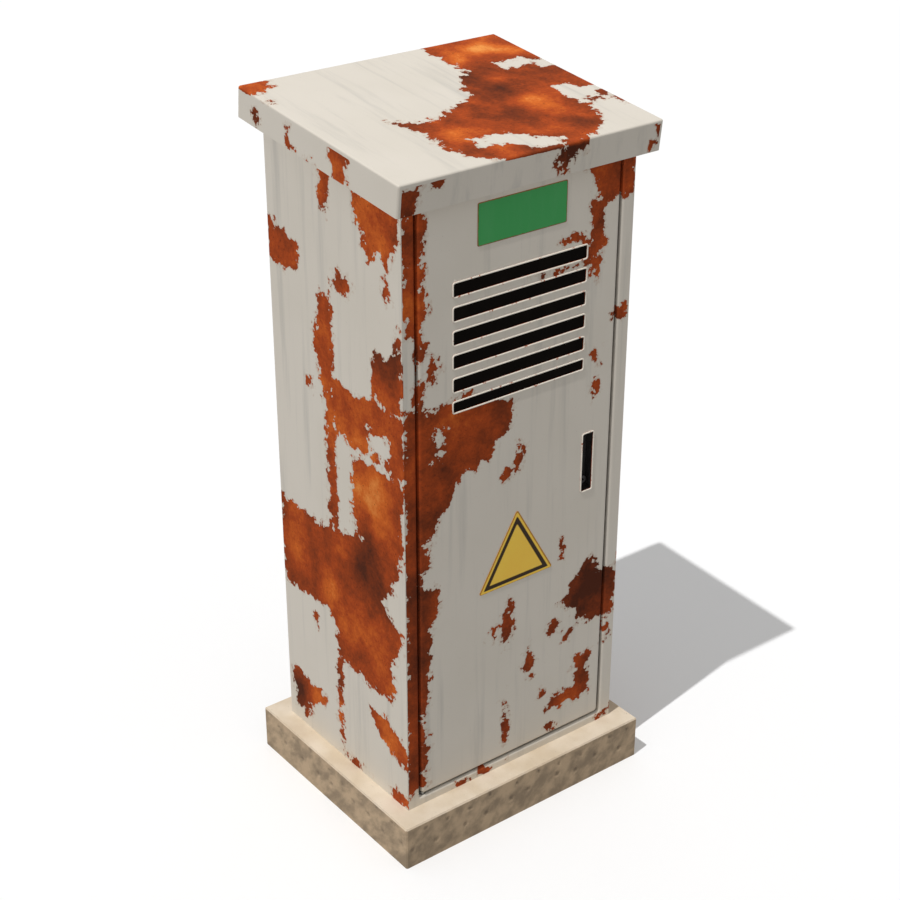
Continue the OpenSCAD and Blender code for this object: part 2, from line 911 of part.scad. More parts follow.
module backboard() {
    color(zinc)
        difference() {
            on_board(board_mid)
                translate([0, 0, -board_t])
                    linear_extrude(board_t)
                        rounded_rect(board_w, board_h, fold_r);
            on_board(board_mid)
                at_corners(board_hole_x, board_hole_z)
                    translate([0, 0, -board_t - past])
                        cylinder(board_t + 2 * past, r = board_screw_r + bolt_play);
            for (z = [upper_rail_z, lower_rail_z])
                on_board(z)
                    for (side = [-1, 1])
                        translate([side * rail_screw_x, 0, -board_t - past])
                            cylinder(board_t + 2 * past, r = rail_screw_r + bolt_play);
        }
}

module board_standoffs() {
    color(zinc)
        on_board(board_mid)
            at_corners(board_hole_x, board_hole_z)
                translate([0, 0, -board_t - standoff_l])
                    difference() {
                        cylinder(standoff_l, r = standoff_r);
                        translate([0, 0, standoff_l - screw_depth])
                            cylinder(screw_depth + past, r = board_screw_r + snug);
                    }
}

module board_screws() {
    color(zinc)
        on_board(board_mid)
            at_corners(board_hole_x, board_hole_z)
                pan_screw(board_screw_r, board_t + screw_depth - past);
}

// Top-hat rail: web on the board, two walls and two outward flanges
module rail(z) {
    wall = rail_web / 2;
    flange = (rail_h - rail_web) / 2 + rail_t;
    color(zinc)
        difference() {
            on_board(z)
                along_x(rail_l) {
                    translate([-wall, 0])
                        square([rail_web, rail_t]);
                    for (side = [0, 1])
                        mirror([side, 0]) {
                            translate([wall - rail_t, 0])
                                square([rail_t, rail_depth]);
                            translate([wall - rail_t, rail_depth - rail_t])
                                square([flange, rail_t]);
                        }
                }
            on_board(z)
                for (side = [-1, 1])
                    translate([side * rail_screw_x, 0, -past])
                        cylinder(rail_t + 2 * past, r = rail_screw_r + bolt_play);
        }
}

module upper_rail() {
    rail(upper_rail_z);
}

module lower_rail() {
    rail(lower_rail_z);
}

module rail_screws() {
    color(zinc)
        for (z = [upper_rail_z, lower_rail_z])
            on_board(z)
                for (side = [-1, 1])
                    translate([side * rail_screw_x, 0, rail_t])
                        pan_screw(rail_screw_r, rail_t + board_t + screw_end);
}

// Side outline of a rail-mounted device: notch for the rail, shoulders and a raised nose
module device_outline() {
    h = device_h / 2;
    notch = rail_h / 2 + device_gap;
    nose = device_nose / 2;
    ramp = 2;
    polygon([[-h, device_back], [-notch, device_back], [-notch, rail_depth], [notch, rail_depth],
        [notch, device_back], [h, device_back], [h, device_step - ramp], [h - ramp, device_step],
        [nose + ramp, device_step], [nose, device_step + ramp], [nose, device_d - ramp],
        [nose - ramp, device_d],
        [-nose + ramp, device_d], [-nose, device_d - ramp], [-nose, device_step + ramp],
        [-nose - ramp, device_step], [-h + ramp, device_step], [-h, device_step - ramp]]);
}

module main_switch_body() {
    color(grey_plastic)
        on_board(upper_rail_z)
            translate([switch_x, 0, 0])
                difference() {
                    along_x(switch_w - device_gap)
                        device_outline();
                    translate([0, 0, device_d - knob_shaft_l - past])
                        cylinder(knob_shaft_l + 2 * past, r = knob_shaft_r + running_clear);
                }
}

// Round knob with a tapered grip bar, on a shaft in the switch
module main_switch_knob() {
    disc_h = 6;
    grip_h = 13;
    grip_root = 5.5;
    grip_tip = 4;
    color(black_plastic)
        on_board(upper_rail_z)
            translate([switch_x, 0, device_d + free_gap]) {
                translate([0, 0, -knob_shaft_l])
                    cylinder(knob_shaft_l, r = knob_shaft_r);
                cylinder(disc_h, r = knob_r);
                translate([0, 0, disc_h])
                    rotate([90, 0, 0])
                        linear_extrude(2 * knob_r - 2, center = true)
                            polygon([[-grip_root, 0], [grip_root, 0], [grip_tip, grip_h],
                                [-grip_tip, grip_h]]);
            }
}

module breaker_bodies() {
    color(grey_plastic)
        on_board(upper_rail_z)
            for (i = breaker_numbers)
                translate([breaker_x(i), 0, 0])
                    difference() {
                        along_x(breaker_pitch - device_gap)
                            device_outline();
                        translate([0, 0, drum_axis])
                            rotate([0, 90, 0])
                                cylinder(drum_w + 2 * free_gap, r = drum_r + free_gap, center = true);
                    }
}

// Toggle: round drum in the breaker's nose with a tapered lever, tipped up
module breaker_toggle(i) {
    lever_w = drum_w - 1;
    color(black_plastic)
        on_board(upper_rail_z)
            translate([breaker_x(i), 0, drum_axis])
                rotate([-toggle_tilt, 0, 0]) {
                    rotate([0, 90, 0])
                        cylinder(drum_w, r = drum_r, center = true);
                    along_x(lever_w)
                        polygon([[-toggle_t / 2, 0], [toggle_t / 2, 0], [toggle_t / 2 - 1, toggle_reach],
                            [-toggle_t / 2 + 1, toggle_reach]]);
                }
}

// Copper comb that feeds the breakers from the main switch, along the devices' lower faces
module busbar_comb() {
    tooth_places = concat([switch_x], [for (i = breaker_numbers) breaker_x(i)]);
    comb_l = tooth_places[breaker_count] - switch_x + comb_tooth;
    color(copper)
        on_board(upper_rail_z)
            translate([0, -device_h / 2 - comb_tooth_h, comb_depth]) {
                translate([switch_x - comb_tooth / 2, -comb_h, 0])
                    cube([comb_l, comb_h, comb_t]);
                for (x = tooth_places)
                    translate([x - comb_tooth / 2, 0, 0])
                        cube([comb_tooth, comb_tooth_h, comb_t]);
            }
}

// Feed-through terminals: notched back, sloped shoulders and two screw wells each
module terminal_blocks() {
    h = terminal_h / 2;
    notch = rail_h / 2 + device_gap;
    shoulder = 12;
    well_r = 2.4;
    well_depth = 10;
    color(terminal_grey)
        on_board(lower_rail_z)
            for (i = [1 : terminal_count])
                translate([(i - (terminal_count + 1) / 2) * terminal_w, 0, 0])
                    difference() {
                        along_x(terminal_w - device_gap)
                            polygon([[-h, device_back], [-notch, device_back], [-notch, rail_depth],
                                [notch, rail_depth], [notch, device_back], [h, device_back],
                                [h, terminal_d - shoulder], [h / 2, terminal_d], [-h / 2, terminal_d],
                                [-h, terminal_d - shoulder]]);
                        for (side = [-1, 1])
                            translate([0, side * h / 3, terminal_d - well_depth])
                                cylinder(well_depth + past, r = well_r);
                    }
}

// Clamps at both ends of each row of devices
module end_stops() {
    h = 24;
    notch = rail_h / 2 + device_gap;
    stop_d = 30;
    ramp = 8;
    rows = [[upper_rail_z, row_l / 2], [lower_rail_z, terminal_count * terminal_w / 2]];
    color(stop_grey)
        for (row = rows)
            on_board(row[0])
                for (side = [-1, 1])
                    translate([side * (row[1] + stop_w / 2), 0, 0])
                        along_x(stop_w - device_gap)
                            polygon([[-h, device_back], [-notch, device_back], [-notch, rail_depth],
                                [notch, rail_depth], [notch, device_back], [h, device_back],
                                [h, stop_d - ramp], [h - ramp, stop_d], [-h + ramp, stop_d], [-h, stop_d - ramp]]);
}

// Repeats children at the clamp screws of one bar
module at_bar_screws() {
    pitch = (bar_l - 4 * insulator_r) / (bar_screw_count - 1);
    for (i = [0 : bar_screw_count - 1])
        translate([(i - (bar_screw_count - 1) / 2) * pitch, 0, insulator_h + bar_t])
            children();
}

// Drilled terminal bar on its two insulators
module terminal_bar(z) {
    on_board(z)
        difference() {
            translate([-bar_l / 2, -bar_h / 2, insulator_h])
                cube([bar_l, bar_h, bar_t]);
            at_bar_screws()
                translate([0, 0, -bar_t / 2])
                    cylinder(bar_t, r = bar_screw_r + snug);
        }
}

module neutral_bar() {
    color(brass)
        terminal_bar(neutral_z);
}

module earth_bar() {
    color(copper)
        terminal_bar(earth_z);
}

module bar_insulators() {
    color(resin)
        for (z = [neutral_z, earth_z])
            on_board(z)
                for (side = [-1, 1])
                    translate([side * insulator_x, 0, 0])
                        rotate_extrude()
                            polygon([[0, 0], [insulator_r, 0], [insulator_r - 2, insulator_h / 2],
                                [insulator_r, insulator_h], [0, insulator_h]]);
}

module bar_screws() {
    color(zinc)
        for (z = [neutral_z, earth_z])
            on_board(z)
                at_bar_screws()
                    pan_screw(bar_screw_r, bar_t / 2 - free_gap);
}

// Folded door: skin, rounded edge, side wall and return, pierced by the louvres and the recess
module door_panel() {
    color(paint)
        difference() {
            on_front() {
                translate([0, door_mid, 0])
                    door_shell();
                for (i = [0 : louvre_count - 1])
                    translate([0, louvre_slot_z(i), 0])
                        slot_rim(louvre_w, louvre_slot_h(i));
                translate([recess_x, recess_z, 0])
                    slot_rim(recess_w, recess_h);
            }
            on_front()
                translate([0, 0, skin_back - past])
                    linear_extrude(door_t + rim_r + 2 * past)
                        door_slots();
            at_pivots()
                translate([0, 0, -past])
                    cylinder(door_corner_r, r = pin_r + snug);
        }
}

module door_shell() {
    wall_l = door_depth - edge_r;
    translate([0, 0, -door_t])
        linear_extrude(door_t)
            rounded_rect(door_w - 2 * edge_r, door_h - 2 * edge_r, door_corner_r - edge_r);
    swept_frame(door_w, door_h, door_corner_r) {
        translate([-edge_r, -edge_r])
            bend(edge_r, door_t);
        translate([-door_t, -door_depth])
            square([door_t, wall_l]);
    }
    translate([0, 0, -door_depth])
        linear_extrude(door_t)
            ring_plate(door_w - door_t, door_h - door_t, door_corner_r - door_t / 2,
                door_return - door_t / 2, slot_corner_r);
}

module door_slots() {
    for (i = [0 : louvre_count - 1])
        translate([0, louvre_slot_z(i)])
            rounded_rect(louvre_w, louvre_slot_h(i), slot_corner_r);
    translate([recess_x, recess_z])
        rounded_rect(recess_w, recess_h, slot_corner_r);
}

// Hat-section ribs across the back of the door's skin
module door_stiffeners() {
    half = hat_crown / 2;
    color(paint)
        on_front()
            for (z = hat_heights)
                translate([0, z, 0])
                    along_x(hat_l) {
                        translate([-half, hat_back])
                            square([hat_crown, door_t]);
                        for (side = [0, 1])
                            mirror([side, 0]) {
                                translate([half - door_t, hat_back])
                                    square([door_t, hat_depth]);
                                translate([half - door_t, skin_back - door_t])
                                    square([hat_flange + door_t, door_t]);
                            }
                    }
}

module door_gasket() {
    ring_w = door_w - 2 * gasket_inset;
    ring_h = door_h - 2 * gasket_inset;
    color(rubber)
        on_front()
            translate([0, door_mid, -door_depth - gasket_t])
                linear_extrude(gasket_t)
                    ring_plate(ring_w, ring_h, slot_corner_r, gasket_w, slot_corner_r);
}

module vent_filter() {
    color(rubber)
        on_front()
            translate([0, louvre_mid, filter_back])
                linear_extrude(filter_t)
                    square([filter_w - 2 * snug, filter_h - 2 * snug], center = true);
}

// Stepped frame that clamps the filter mat to the door's skin
module filter_frame() {
    outer_w = filter_w + 2 * door_t;
    outer_h = filter_h + 2 * door_t;
    color(zinc)
        on_front()
            translate([0, louvre_mid, filter_back - door_t]) {
                linear_extrude(door_t)
                    ring_plate(outer_w, outer_h, filter_corner_r, filter_lip + door_t, slot_corner_r);
                linear_extrude(filter_t + door_t)
                    difference() {
                        rounded_rect(outer_w, outer_h, door_t);
                        square([filter_w, filter_h], center = true);
                    }
                translate([0, 0, filter_t])
                    linear_extrude(door_t)
                        difference() {
                            rounded_rect(filter_w + 2 * filter_foot, filter_h + 2 * filter_foot,
                                filter_corner_r);
                            square([filter_w, filter_h], center = true);
                        }
            }
}

// Pins fixed in the door, each with a thrust collar over its pivot block
module pivot_pins() {
    color(zinc)
        at_pivots() {
            translate([0, 0, -door_gap - sheet_t - pin_grip + 1])
                cylinder(door_gap + sheet_t + pin_grip - 1 + bracket_rise + bracket_t + 2, r = pin_r);
            translate([0, 0, -door_gap + free_gap])
                cylinder(door_gap - free_gap, r = collar_r);
        }
}

// Plates inside the door's corners that hold the pins
module pivot_brackets() {
    left = -pivot_inset + door_t + snug;
    front = -pivot_depth + door_t + snug;
    back = door_depth - pivot_depth - door_t - snug;
    corner = edge_r - door_t;
    color(zinc)
        at_pivots()
            difference() {
                translate([0, 0, bracket_rise])
                    linear_extrude(bracket_t)
                        polygon([[left + corner, front], [left + bracket_l, front], [left + bracket_l, back],
                            [left, back], [left, front + corner]]);
                translate([0, 0, bracket_rise - past])
                    cylinder(bracket_t + 2 * past, r = pin_r + snug);
            }
}

// Moulded pocket behind the recess, with a flange against the door's skin
module handle_dish() {
    flange = 8;
    flange_t = 2.5;
    color(black_plastic)
        on_front()
            difference() {
                translate([recess_x, recess_z, 0]) {
                    translate([0, 0, skin_back - flange_t])
                        linear_extrude(flange_t)
                            rounded_rect(recess_w + 2 * (dish_wall + flange),
                                recess_h + 2 * (dish_wall + flange), slot_corner_r);
                    translate([0, 0, dish_back])
                        linear_extrude(recess_depth + dish_wall)
                            rounded_rect(recess_w + 2 * dish_wall, recess_h + 2 * dish_wall,
                                slot_corner_r + dish_wall);
                }
                translate([recess_x, recess_z, dish_back + dish_wall])
                    linear_extrude(recess_depth + past)
                        rounded_rect(recess_w, recess_h, slot_corner_r);
                at_spindle(dish_back - past)
                    cylinder(dish_wall + 2 * past, r = spindle_r + running_clear);
                at_lock_screws(dish_back - past)
                    cylinder(dish_wall + 2 * past, r = lock_screw_r + snug);
            }
}

// Places children on the spindle's axis at a depth behind the door's face
module at_spindle(depth) {
    translate([recess_x, spindle_z, depth])
        children();
}

// Repeats children at the two lock screws, above and below the pinion
module at_lock_screws(depth) {
    for (side = [-1, 1])
        at_spindle(depth)
            translate([0, side * lock_screw_z, 0])
                children();
}

// Channel that holds the racks against the pinion
module lock_case() {
    height = 2 * case_half_h;
    color(zinc)
        on_front()
            difference() {
                at_spindle(cover_front)
                    linear_extrude(dish_back - cover_front)
                        square([2 * case_half_w, height], center = true);
                at_spindle(cover_front - past)
                    linear_extrude(dish_back - case_wall - cover_front + past)
                        square([2 * (case_half_w - case_wall), height + 2 * past], center = true);
                at_spindle(cover_front - past)
                    cylinder(dish_back - cover_front + 2 * past, r = spindle_r + free_gap);
                at_lock_screws(cover_front - past)
                    cylinder(dish_back - cover_front + 2 * past, r = lock_screw_r + bolt_play);
            }
}

module lock_cover() {
    color(zinc)
        on_front()
            difference() {
                at_spindle(cover_back)
                    linear_extrude(sheet_t)
                        rounded_rect(2 * case_half_w, 2 * case_half_h, slot_corner_r);
                at_spindle(cover_back - past)
                    cylinder(sheet_t + 2 * past, r = spindle_r + free_gap);
                at_lock_screws(cover_back - past)
                    cylinder(sheet_t + 2 * past, r = lock_screw_r + bolt_play);
            }
}

// Long screws through cover and case into the dish's back wall
module lock_screws() {
    color(zinc)
        on_front()
            at_lock_screws(cover_back)
                mirror([0, 0, 1])
                    pan_screw(lock_screw_r, dish_back + dish_wall - cover_back - free_gap);
}

// Key-turned spindle: socket end in the recess, shaft through dish, case, pinion and cover
module lock_spindle() {
    socket_depth = 7;
    key_back = dish_back + dish_wall + free_gap;
    key_l = 9;
    color(zinc)
        on_front()
            difference() {
                union() {
                    at_spindle(key_back)
                        cylinder(key_l, r = key_r);
                    at_spindle(cover_back - 2)
                        cylinder(key_back - cover_back + 2, r = spindle_r);
                }
                at_spindle(key_back + key_l - socket_depth)
                    rotate(90)
                        cylinder(socket_depth + past, r = 0.62 * key_r, $fn = 3);
            }
}

// Half angle of a pinion tooth at radius r, on an involute flank
function involute(angle) = tan(angle) - angle * PI / 180;
base_r = pitch_r * cos(pressure_angle);
function flank_angle(r) =
    let (at = r > base_r ? acos(base_r / r) : 0)
    90 / pinion_teeth + (involute(pressure_angle) - involute(at) - flank_play / pitch_r) * 180 / PI;
flank_radii = [pitch_r - dedendum, base_r, (base_r + pitch_r) / 2, pitch_r, pitch_r + addendum / 2,
    pitch_r + addendum];

module pinion_outline() {
    tip = len(flank_radii) - 1;
    step = 360 / pinion_teeth;
    polygon([for (i = [0 : pinion_teeth - 1]) each concat(
        [for (k = [0 : tip]) flank_radii[k] * [cos(i * step - flank_angle(flank_radii[k])),
            sin(i * step - flank_angle(flank_radii[k]))]],
        [for (k = [tip : -1 : 0]) flank_radii[k] * [cos(i * step + flank_angle(flank_radii[k])),
            sin(i * step + flank_angle(flank_radii[k]))]])]);
}

module lock_pinion() {
    color(brass)
        on_front()
            difference() {
                at_spindle(rod_back)
                    linear_extrude(rod_t)
                        pinion_outline();
                at_spindle(rod_back - past)
                    cylinder(rod_t + 2 * past, r = spindle_r + snug);
            }
}

// Rack tooth with its pitch line on x = 0, pointing to +X
module rack_tooth() {
    half = tooth_pitch / 4 - flank_play;
    root = half + dedendum * tan(pressure_angle);
    tip = half - addendum * tan(pressure_angle);
    polygon([[-dedendum - snug, -root], [-dedendum, -root], [addendum, -tip], [addendum, tip],
        [-dedendum, root], [-dedendum - snug, root]]);
}

// Toothed flat rod beside the spindle, reaching up to a bevelled tip
module rod_outline(reach) {
    bevel = 3;
    heel = -teeth_behind * tooth_pitch;
    inner = -dedendum;
    outer = inner - rod_w;
    polygon([[inner, heel], [inner, reach - bevel], [inner - bevel, reach], [outer + bevel, reach],
        [outer, reach - bevel], [outer, heel]]);
    for (k = [-teeth_behind : teeth_ahead - 1])
        translate([0, (k + 0.5) * tooth_pitch])
            rack_tooth();
}

module upper_rod() {
    color(zinc)
        on_front()
            at_spindle(rod_back)
                translate([-pitch_r, 0, 0])
                    linear_extrude(rod_t)
                        rod_outline(landing_top - rod_retreat - spindle_z);
}

module lower_rod() {
    color(zinc)
        on_front()
            at_spindle(rod_back)
                translate([pitch_r, 0, 0])
                    linear_extrude(rod_t)
                        rotate(180)
                            rod_outline(spindle_z - landing_low - rod_retreat);
}

// Slotted blocks on the stiffeners that guide the rods
module rod_guides() {
    guide_back = rod_back - slide_clear - guide_wall;
    places = [[lower_rod_x, 0], [lower_rod_x, 1], [upper_rod_x, 2], [upper_rod_x, 3]];
    color(black_plastic)
        on_front()
            for (place = places)
                translate([place[0], hat_heights[place[1]], 0])
                    difference() {
                        translate([-rod_w / 2 - slide_clear - guide_wall, -guide_l / 2, guide_back])
                            cube([rod_w + 2 * (slide_clear + guide_wall), guide_l, hat_back - guide_back]);
                        translate([-rod_w / 2 - slide_clear, -guide_l / 2 - past, rod_back - slide_clear])
                            cube([rod_w + 2 * slide_clear, guide_l + 2 * past, rod_t + 2 * slide_clear]);
                    }
}

module blank_plate() {
    color(plate_green)
        on_front()
            translate([0, door_top - plate_drop, 0])
                linear_extrude(plate_t)
                    rounded_rect(plate_w, plate_h, slot_corner_r);
}

// Equilateral plate with rounded corners, its base level
module triangle_plate() {
    corner_r = 4;
    height = triangle_side * sin(60);
    centre = door_low + triangle_rise + height / 3;
    reach = 2 * height / 3 - 2 * corner_r;
    turns = [90, 210, 330];
    color(plate_yellow)
        on_front()
            translate([0, centre, 0])
                linear_extrude(plate_t) {
                    polygon([for (turn = turns, side = [-60, 60])
                        reach * [cos(turn), sin(turn)] + corner_r * [cos(turn + side), sin(turn + side)]]);
                    for (turn = turns)
                        translate(reach * [cos(turn), sin(turn)])
                            circle(corner_r);
                }
}

concrete_plinth();
anchor_studs();
anchor_washers();
anchor_nuts();
floor_pan();
gland_plate();
gland_screws();
cable_glands();
gland_locknuts();
left_stile();
right_stile();
head_rail();
sill_rail();
left_panel();
right_panel();
back_panel();
top_plate();
roof_cap();
roof_spacers();
roof_nuts();
pivot_blocks();
backboard();
board_standoffs();
board_screws();
upper_rail();
lower_rail();
rail_screws();
main_switch_body();
main_switch_knob();
breaker_bodies();
busbar_comb();
terminal_blocks();
end_stops();
neutral_bar();
earth_bar();
bar_insulators();
bar_screws();
door_panel();
door_stiffeners();
door_gasket();
vent_filter();
filter_frame();
pivot_pins();
pivot_brackets();
handle_dish();
lock_case();
lock_cover();
lock_screws();
lock_spindle();
lock_pinion();
upper_rod();
lower_rod();
rod_guides();
blank_plate();
triangle_plate();
for (i = breaker_numbers)
    breaker_toggle(i);
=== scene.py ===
"""Looks of the roadside utility cabinet: flaking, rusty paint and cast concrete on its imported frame."""
import json
import math

import bmesh
import bpy
import numpy as np
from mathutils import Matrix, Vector


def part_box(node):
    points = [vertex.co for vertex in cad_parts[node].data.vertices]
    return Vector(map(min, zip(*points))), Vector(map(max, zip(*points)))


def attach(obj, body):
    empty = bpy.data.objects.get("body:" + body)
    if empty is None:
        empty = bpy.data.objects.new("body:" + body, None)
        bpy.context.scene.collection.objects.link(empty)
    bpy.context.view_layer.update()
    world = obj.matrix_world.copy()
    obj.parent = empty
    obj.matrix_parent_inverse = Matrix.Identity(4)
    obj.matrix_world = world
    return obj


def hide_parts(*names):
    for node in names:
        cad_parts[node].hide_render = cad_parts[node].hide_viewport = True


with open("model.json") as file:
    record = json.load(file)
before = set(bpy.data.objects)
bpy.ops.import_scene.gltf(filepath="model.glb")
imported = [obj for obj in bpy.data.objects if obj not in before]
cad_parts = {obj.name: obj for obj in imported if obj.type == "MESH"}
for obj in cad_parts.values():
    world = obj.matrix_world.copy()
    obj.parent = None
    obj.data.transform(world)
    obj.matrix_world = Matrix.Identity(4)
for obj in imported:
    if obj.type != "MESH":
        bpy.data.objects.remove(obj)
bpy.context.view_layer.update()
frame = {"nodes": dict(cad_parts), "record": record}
NODES = frame["nodes"]
BODY_OF = {
    node: body
    for body, members in frame["record"]["behaviour"]["bodies"].items()
    for node in members
}
MM = 0.001

# Camera, in metres, from the photo's vanishing lines
CAMERA_AT = (-2.0967, -2.7366, 2.6099)
CAMERA_AIM = (0.0, 0.0, 0.7984)
CAMERA_LENS = 72.08

# Light: a high sun from the left, its width in degrees, a plain sky, and the floor with its half in metres
SUN_TRAVEL = (0.46, 0.083, -1.0)
SUN_STRENGTH = 2.12
SUN_ANGLE = 0.6
SKY_STRENGTH = 0.43
FLOOR_BOUNCE = 0.32
FLOOR_WHITE = 0.98
FLOOR_GLOW = 0.085
FLOOR_HALF = 40.0

# Grids that carry the wear, and the margins for welding and cutting them, in mm
GRID_PITCH = 8.5
PLINTH_PITCH = 4.5
PLATE_PITCH = 3.0
WELD_MARGIN = 0.001
CUT_MARGIN = 0.0001

# Angle between faces below which their edge is smooth, in degrees
SMOOTH_ANGLE = 32.0

# How far below zero the rust value starts on sound paint, in mm
FAR = 400.0

# Roof: its slope in degrees, and in mm the depth of its fold and its top in the fascia's layout
ROOF_SLOPE = 6.2
ROOF_FOLD = 5.0
ROOF_TOP = 22.0

# Nodes behind the door's louvre slots and handle recess, and how proud their rims stand, in mm
SLOT_NODES = ("vent_filter", "handle_dish")
RIM_PROUD = 0.2

# Share of a face's normal along the sheet's outward direction, for raw edges and for inner faces
EDGE_SHARE = 0.3
INNER_SHARE = -0.5

# Painted shade, with some dirt, darkening the groove round the door: its start behind the face, middle and
# reach in mm, and its strength
GROOVE_START = 1.8
GROOVE_MIDDLE = 1.0
GROOVE_REACH = 7.0
GROOVE_SHADE_AND_DIRT = 0.7

# Plinth pits, in mm: two rows on each side, as (height, start in pitches, radius), with a chance drift
PIT_PITCH = 66.0
PIT_ROWS = [(50.0, 0.25, 7.0), (86.0, 0.65, 5.0)]
PIT_DRIFT_ALONG = 12.0
PIT_DRIFT_UP = 9.0
PIT_DEPTH = 3.5
PIT_SKIN = 0.5
PIT_SEED = 7

# Rust seen on the front: x to the right and height above the ground, in mm
FRONT_RUST = {
    "patches": [
        [(-290, 1475), (-240, 1475), (-236, 1400), (-242, 1330), (-235, 1260), (-245, 1215), (-290, 1215)],
        [(-290, 1065), (-245, 1070), (-215, 1040), (-175, 1050), (-135, 1068), (-110, 1045), (-60, 1030),
         (-10, 1000), (-25, 960), (-60, 930), (-75, 900), (-110, 885), (-150, 890), (-170, 850),
         (-205, 800), (-230, 750), (-232, 690), (-245, 690), (-245, 650), (-228, 650), (-205, 630),
         (-200, 605), (-222, 560), (-225, 500), (-235, 400), (-250, 300), (-236, 270), (-236, 150),
         (-255, 142), (-290, 145)],
        [(290, 1500), (142, 1500), (178, 1440), (198, 1400), (212, 1386), (290, 1382)],
        [(175, 1385), (212, 1385), (216, 1300), (205, 1215), (188, 1215), (180, 1290)],
        [(130, 480), (165, 520), (192, 560), (215, 560), (235, 520), (290, 520), (290, 395), (205, 395),
         (160, 440)],
        [(178, 312), (216, 312), (218, 198), (98, 195), (98, 230), (177, 234)],
    ],
    "islands": [[(-212, 1010), (-190, 1010), (-190, 930), (-215, 935)]],
    "spots": [
        (-250, 1180, 14, 30), (-215, 1140, 10, 22), (-255, 1100, 12, 30), (150, 1318, 22, 8),
        (100, 1262, 25, 5), (168, 1285, 8, 18), (268, 1132, 18, 18), (205, 1045, 10, 14), (205, 975, 9, 12),
        (3, 875, 17, 24), (-30, 850, 9, 12), (128, 612, 7, 16), (-22, 480, 15, 36), (-60, 472, 10, 12),
        (265, 355, 10, 20), (107, 425, 14, 18), (145, 382, 13, 13), (42, 350, 14, 32), (-25, 212, 8, 40),
        (-90, 115, 14, 9), (-140, 113, 9, 7), (262, 115, 12, 9), (85, 255, 6, 8), (110, 150, 8, 6),
    ],
    "tones": [
        (205, 490, 90, -0.5), (-265, 640, 90, -0.15), (-265, 500, 80, -0.1), (-150, 1020, 60, 0.25),
        (-270, 1300, 70, 0.1), (250, 1430, 60, -0.15), (-262, 230, 60, -0.05), (150, 215, 40, 0.1),
        (-200, 700, 900, -0.14),
    ],
}

# Rust seen on the left side: distance towards the front and height above the ground, in mm
LEFT_RUST = {
    "patches": [
        [(75, 1480), (220, 1480), (222, 1410), (182, 1345), (158, 1372), (130, 1340), (104, 1395),
         (78, 1425)],
        [(-45, 1490), (-5, 1490), (-8, 1440), (-20, 1400), (-40, 1420)],
        [(-230, 1332), (-170, 1318), (-110, 1292), (-125, 1255), (-180, 1236), (-230, 1248)],
        [(-58, 1230), (-14, 1230), (-8, 1160), (-4, 1100), (-10, 1040), (-6, 900), (-8, 800), (-6, 700),
         (-40, 700), (-38, 850), (-44, 1000), (-75, 1100), (-62, 1170)],
        [(135, 1165), (180, 1160), (212, 1185), (216, 1240), (230, 1240), (230, 1050), (140, 1052),
         (128, 1110)],
        [(-20, 1055), (60, 1040), (140, 1055), (230, 1052), (230, 905), (150, 912), (60, 920), (-10, 930)],
        [(50, 900), (140, 905), (225, 895), (222, 800), (215, 700), (120, 705), (55, 715), (48, 800)],
        [(-230, 690), (-120, 680), (-20, 692), (90, 720), (200, 720), (215, 700), (190, 650), (150, 600),
         (180, 565), (220, 550), (205, 500), (175, 450), (190, 420), (185, 365), (110, 362), (20, 372),
         (-20, 370), (-25, 440), (-60, 480), (-140, 475), (-230, 470)],
        [(-30, 360), (-10, 360), (-12, 250), (-16, 150), (-26, 150), (-30, 250)],
        [(100, 300), (150, 310), (230, 262), (230, 210), (170, 225), (110, 262)],
        [(-210, 250), (-150, 240), (-75, 230), (-90, 205), (-130, 180), (-160, 130), (-205, 150)],
    ],
    "islands": [[(110, 985), (190, 980), (185, 932), (115, 930)]],
    "spots": [
        (30, 1267, 30, 22), (180, 1300, 12, 18), (-100, 1010, 12, 14), (200, 118, 27, 20), (30, 113, 30, 8),
        (-105, 425, 10, 14),
    ],
    "tones": [
        (180, 1150, 60, -0.45), (175, 1078, 40, 0.35), (40, 940, 60, 0.25), (60, 820, 40, 0.3),
        (130, 835, 40, 0.4), (125, 780, 35, 0.35), (80, 670, 70, -0.4), (130, 620, 60, -0.35),
        (-180, 580, 45, 0.2), (-60, 570, 45, 0.15), (60, 455, 45, 0.2), (140, 520, 45, 0.15),
        (170, 240, 50, 0.35), (-110, 230, 40, 0.25), (-195, 190, 45, -0.5), (140, 1420, 50, 0.2),
    ],
}

# Rust seen on the roof sheet: x to the right and distance up the slope, in mm
ROOF_RUST = {
    "patches": [
        [(125, 290), (340, 290), (340, -66), (298, -58), (262, -30), (232, -26), (150, -45), (60, -20),
         (62, 40), (95, 90), (130, 110)],
        [(-165, -20), (-120, -55), (-60, -50), (20, -10), (70, 20), (150, 20), (228, 5), (228, -88),
         (240, -130), (226, -180), (204, -222), (120, -268), (60, -290), (-60, -290), (-120, -240),
         (-150, -180), (-140, -110)],
        [(-340, 290), (-255, 290), (-268, 225), (-340, 215)],
    ],
    "islands": [
        [(210, 130), (285, 128), (282, 86), (212, 88)],
        [(285, 115), (340, 112), (340, 60), (288, 62)],
        [(-80, -162), (5, -172), (40, -212), (82, -240), (64, -268), (5, -250), (-16, -222), (-86, -198)],
    ],
    "spots": [
        (272, -120, 20, 7), (300, -130, 15, 7), (313, -96, 13, 11), (322, -140, 8, 14), (-312, 172, 8, 12),
    ],
    "tones": [
        (228, 212, 38, 0.65), (165, 190, 35, 0.4), (300, 178, 35, 0.4), (165, -70, 45, 0.6),
        (235, 135, 45, -0.2), (120, 110, 50, -0.15),
        (-85, -130, 35, 0.3), (-30, -145, 30, 0.3), (165, 55, 30, 0.2), (100, 20, 90, -0.2),
        (50, -120, 70, -0.2), (-290, 250, 50, 0.3), (0, 0, 700, -0.1),
    ],
}

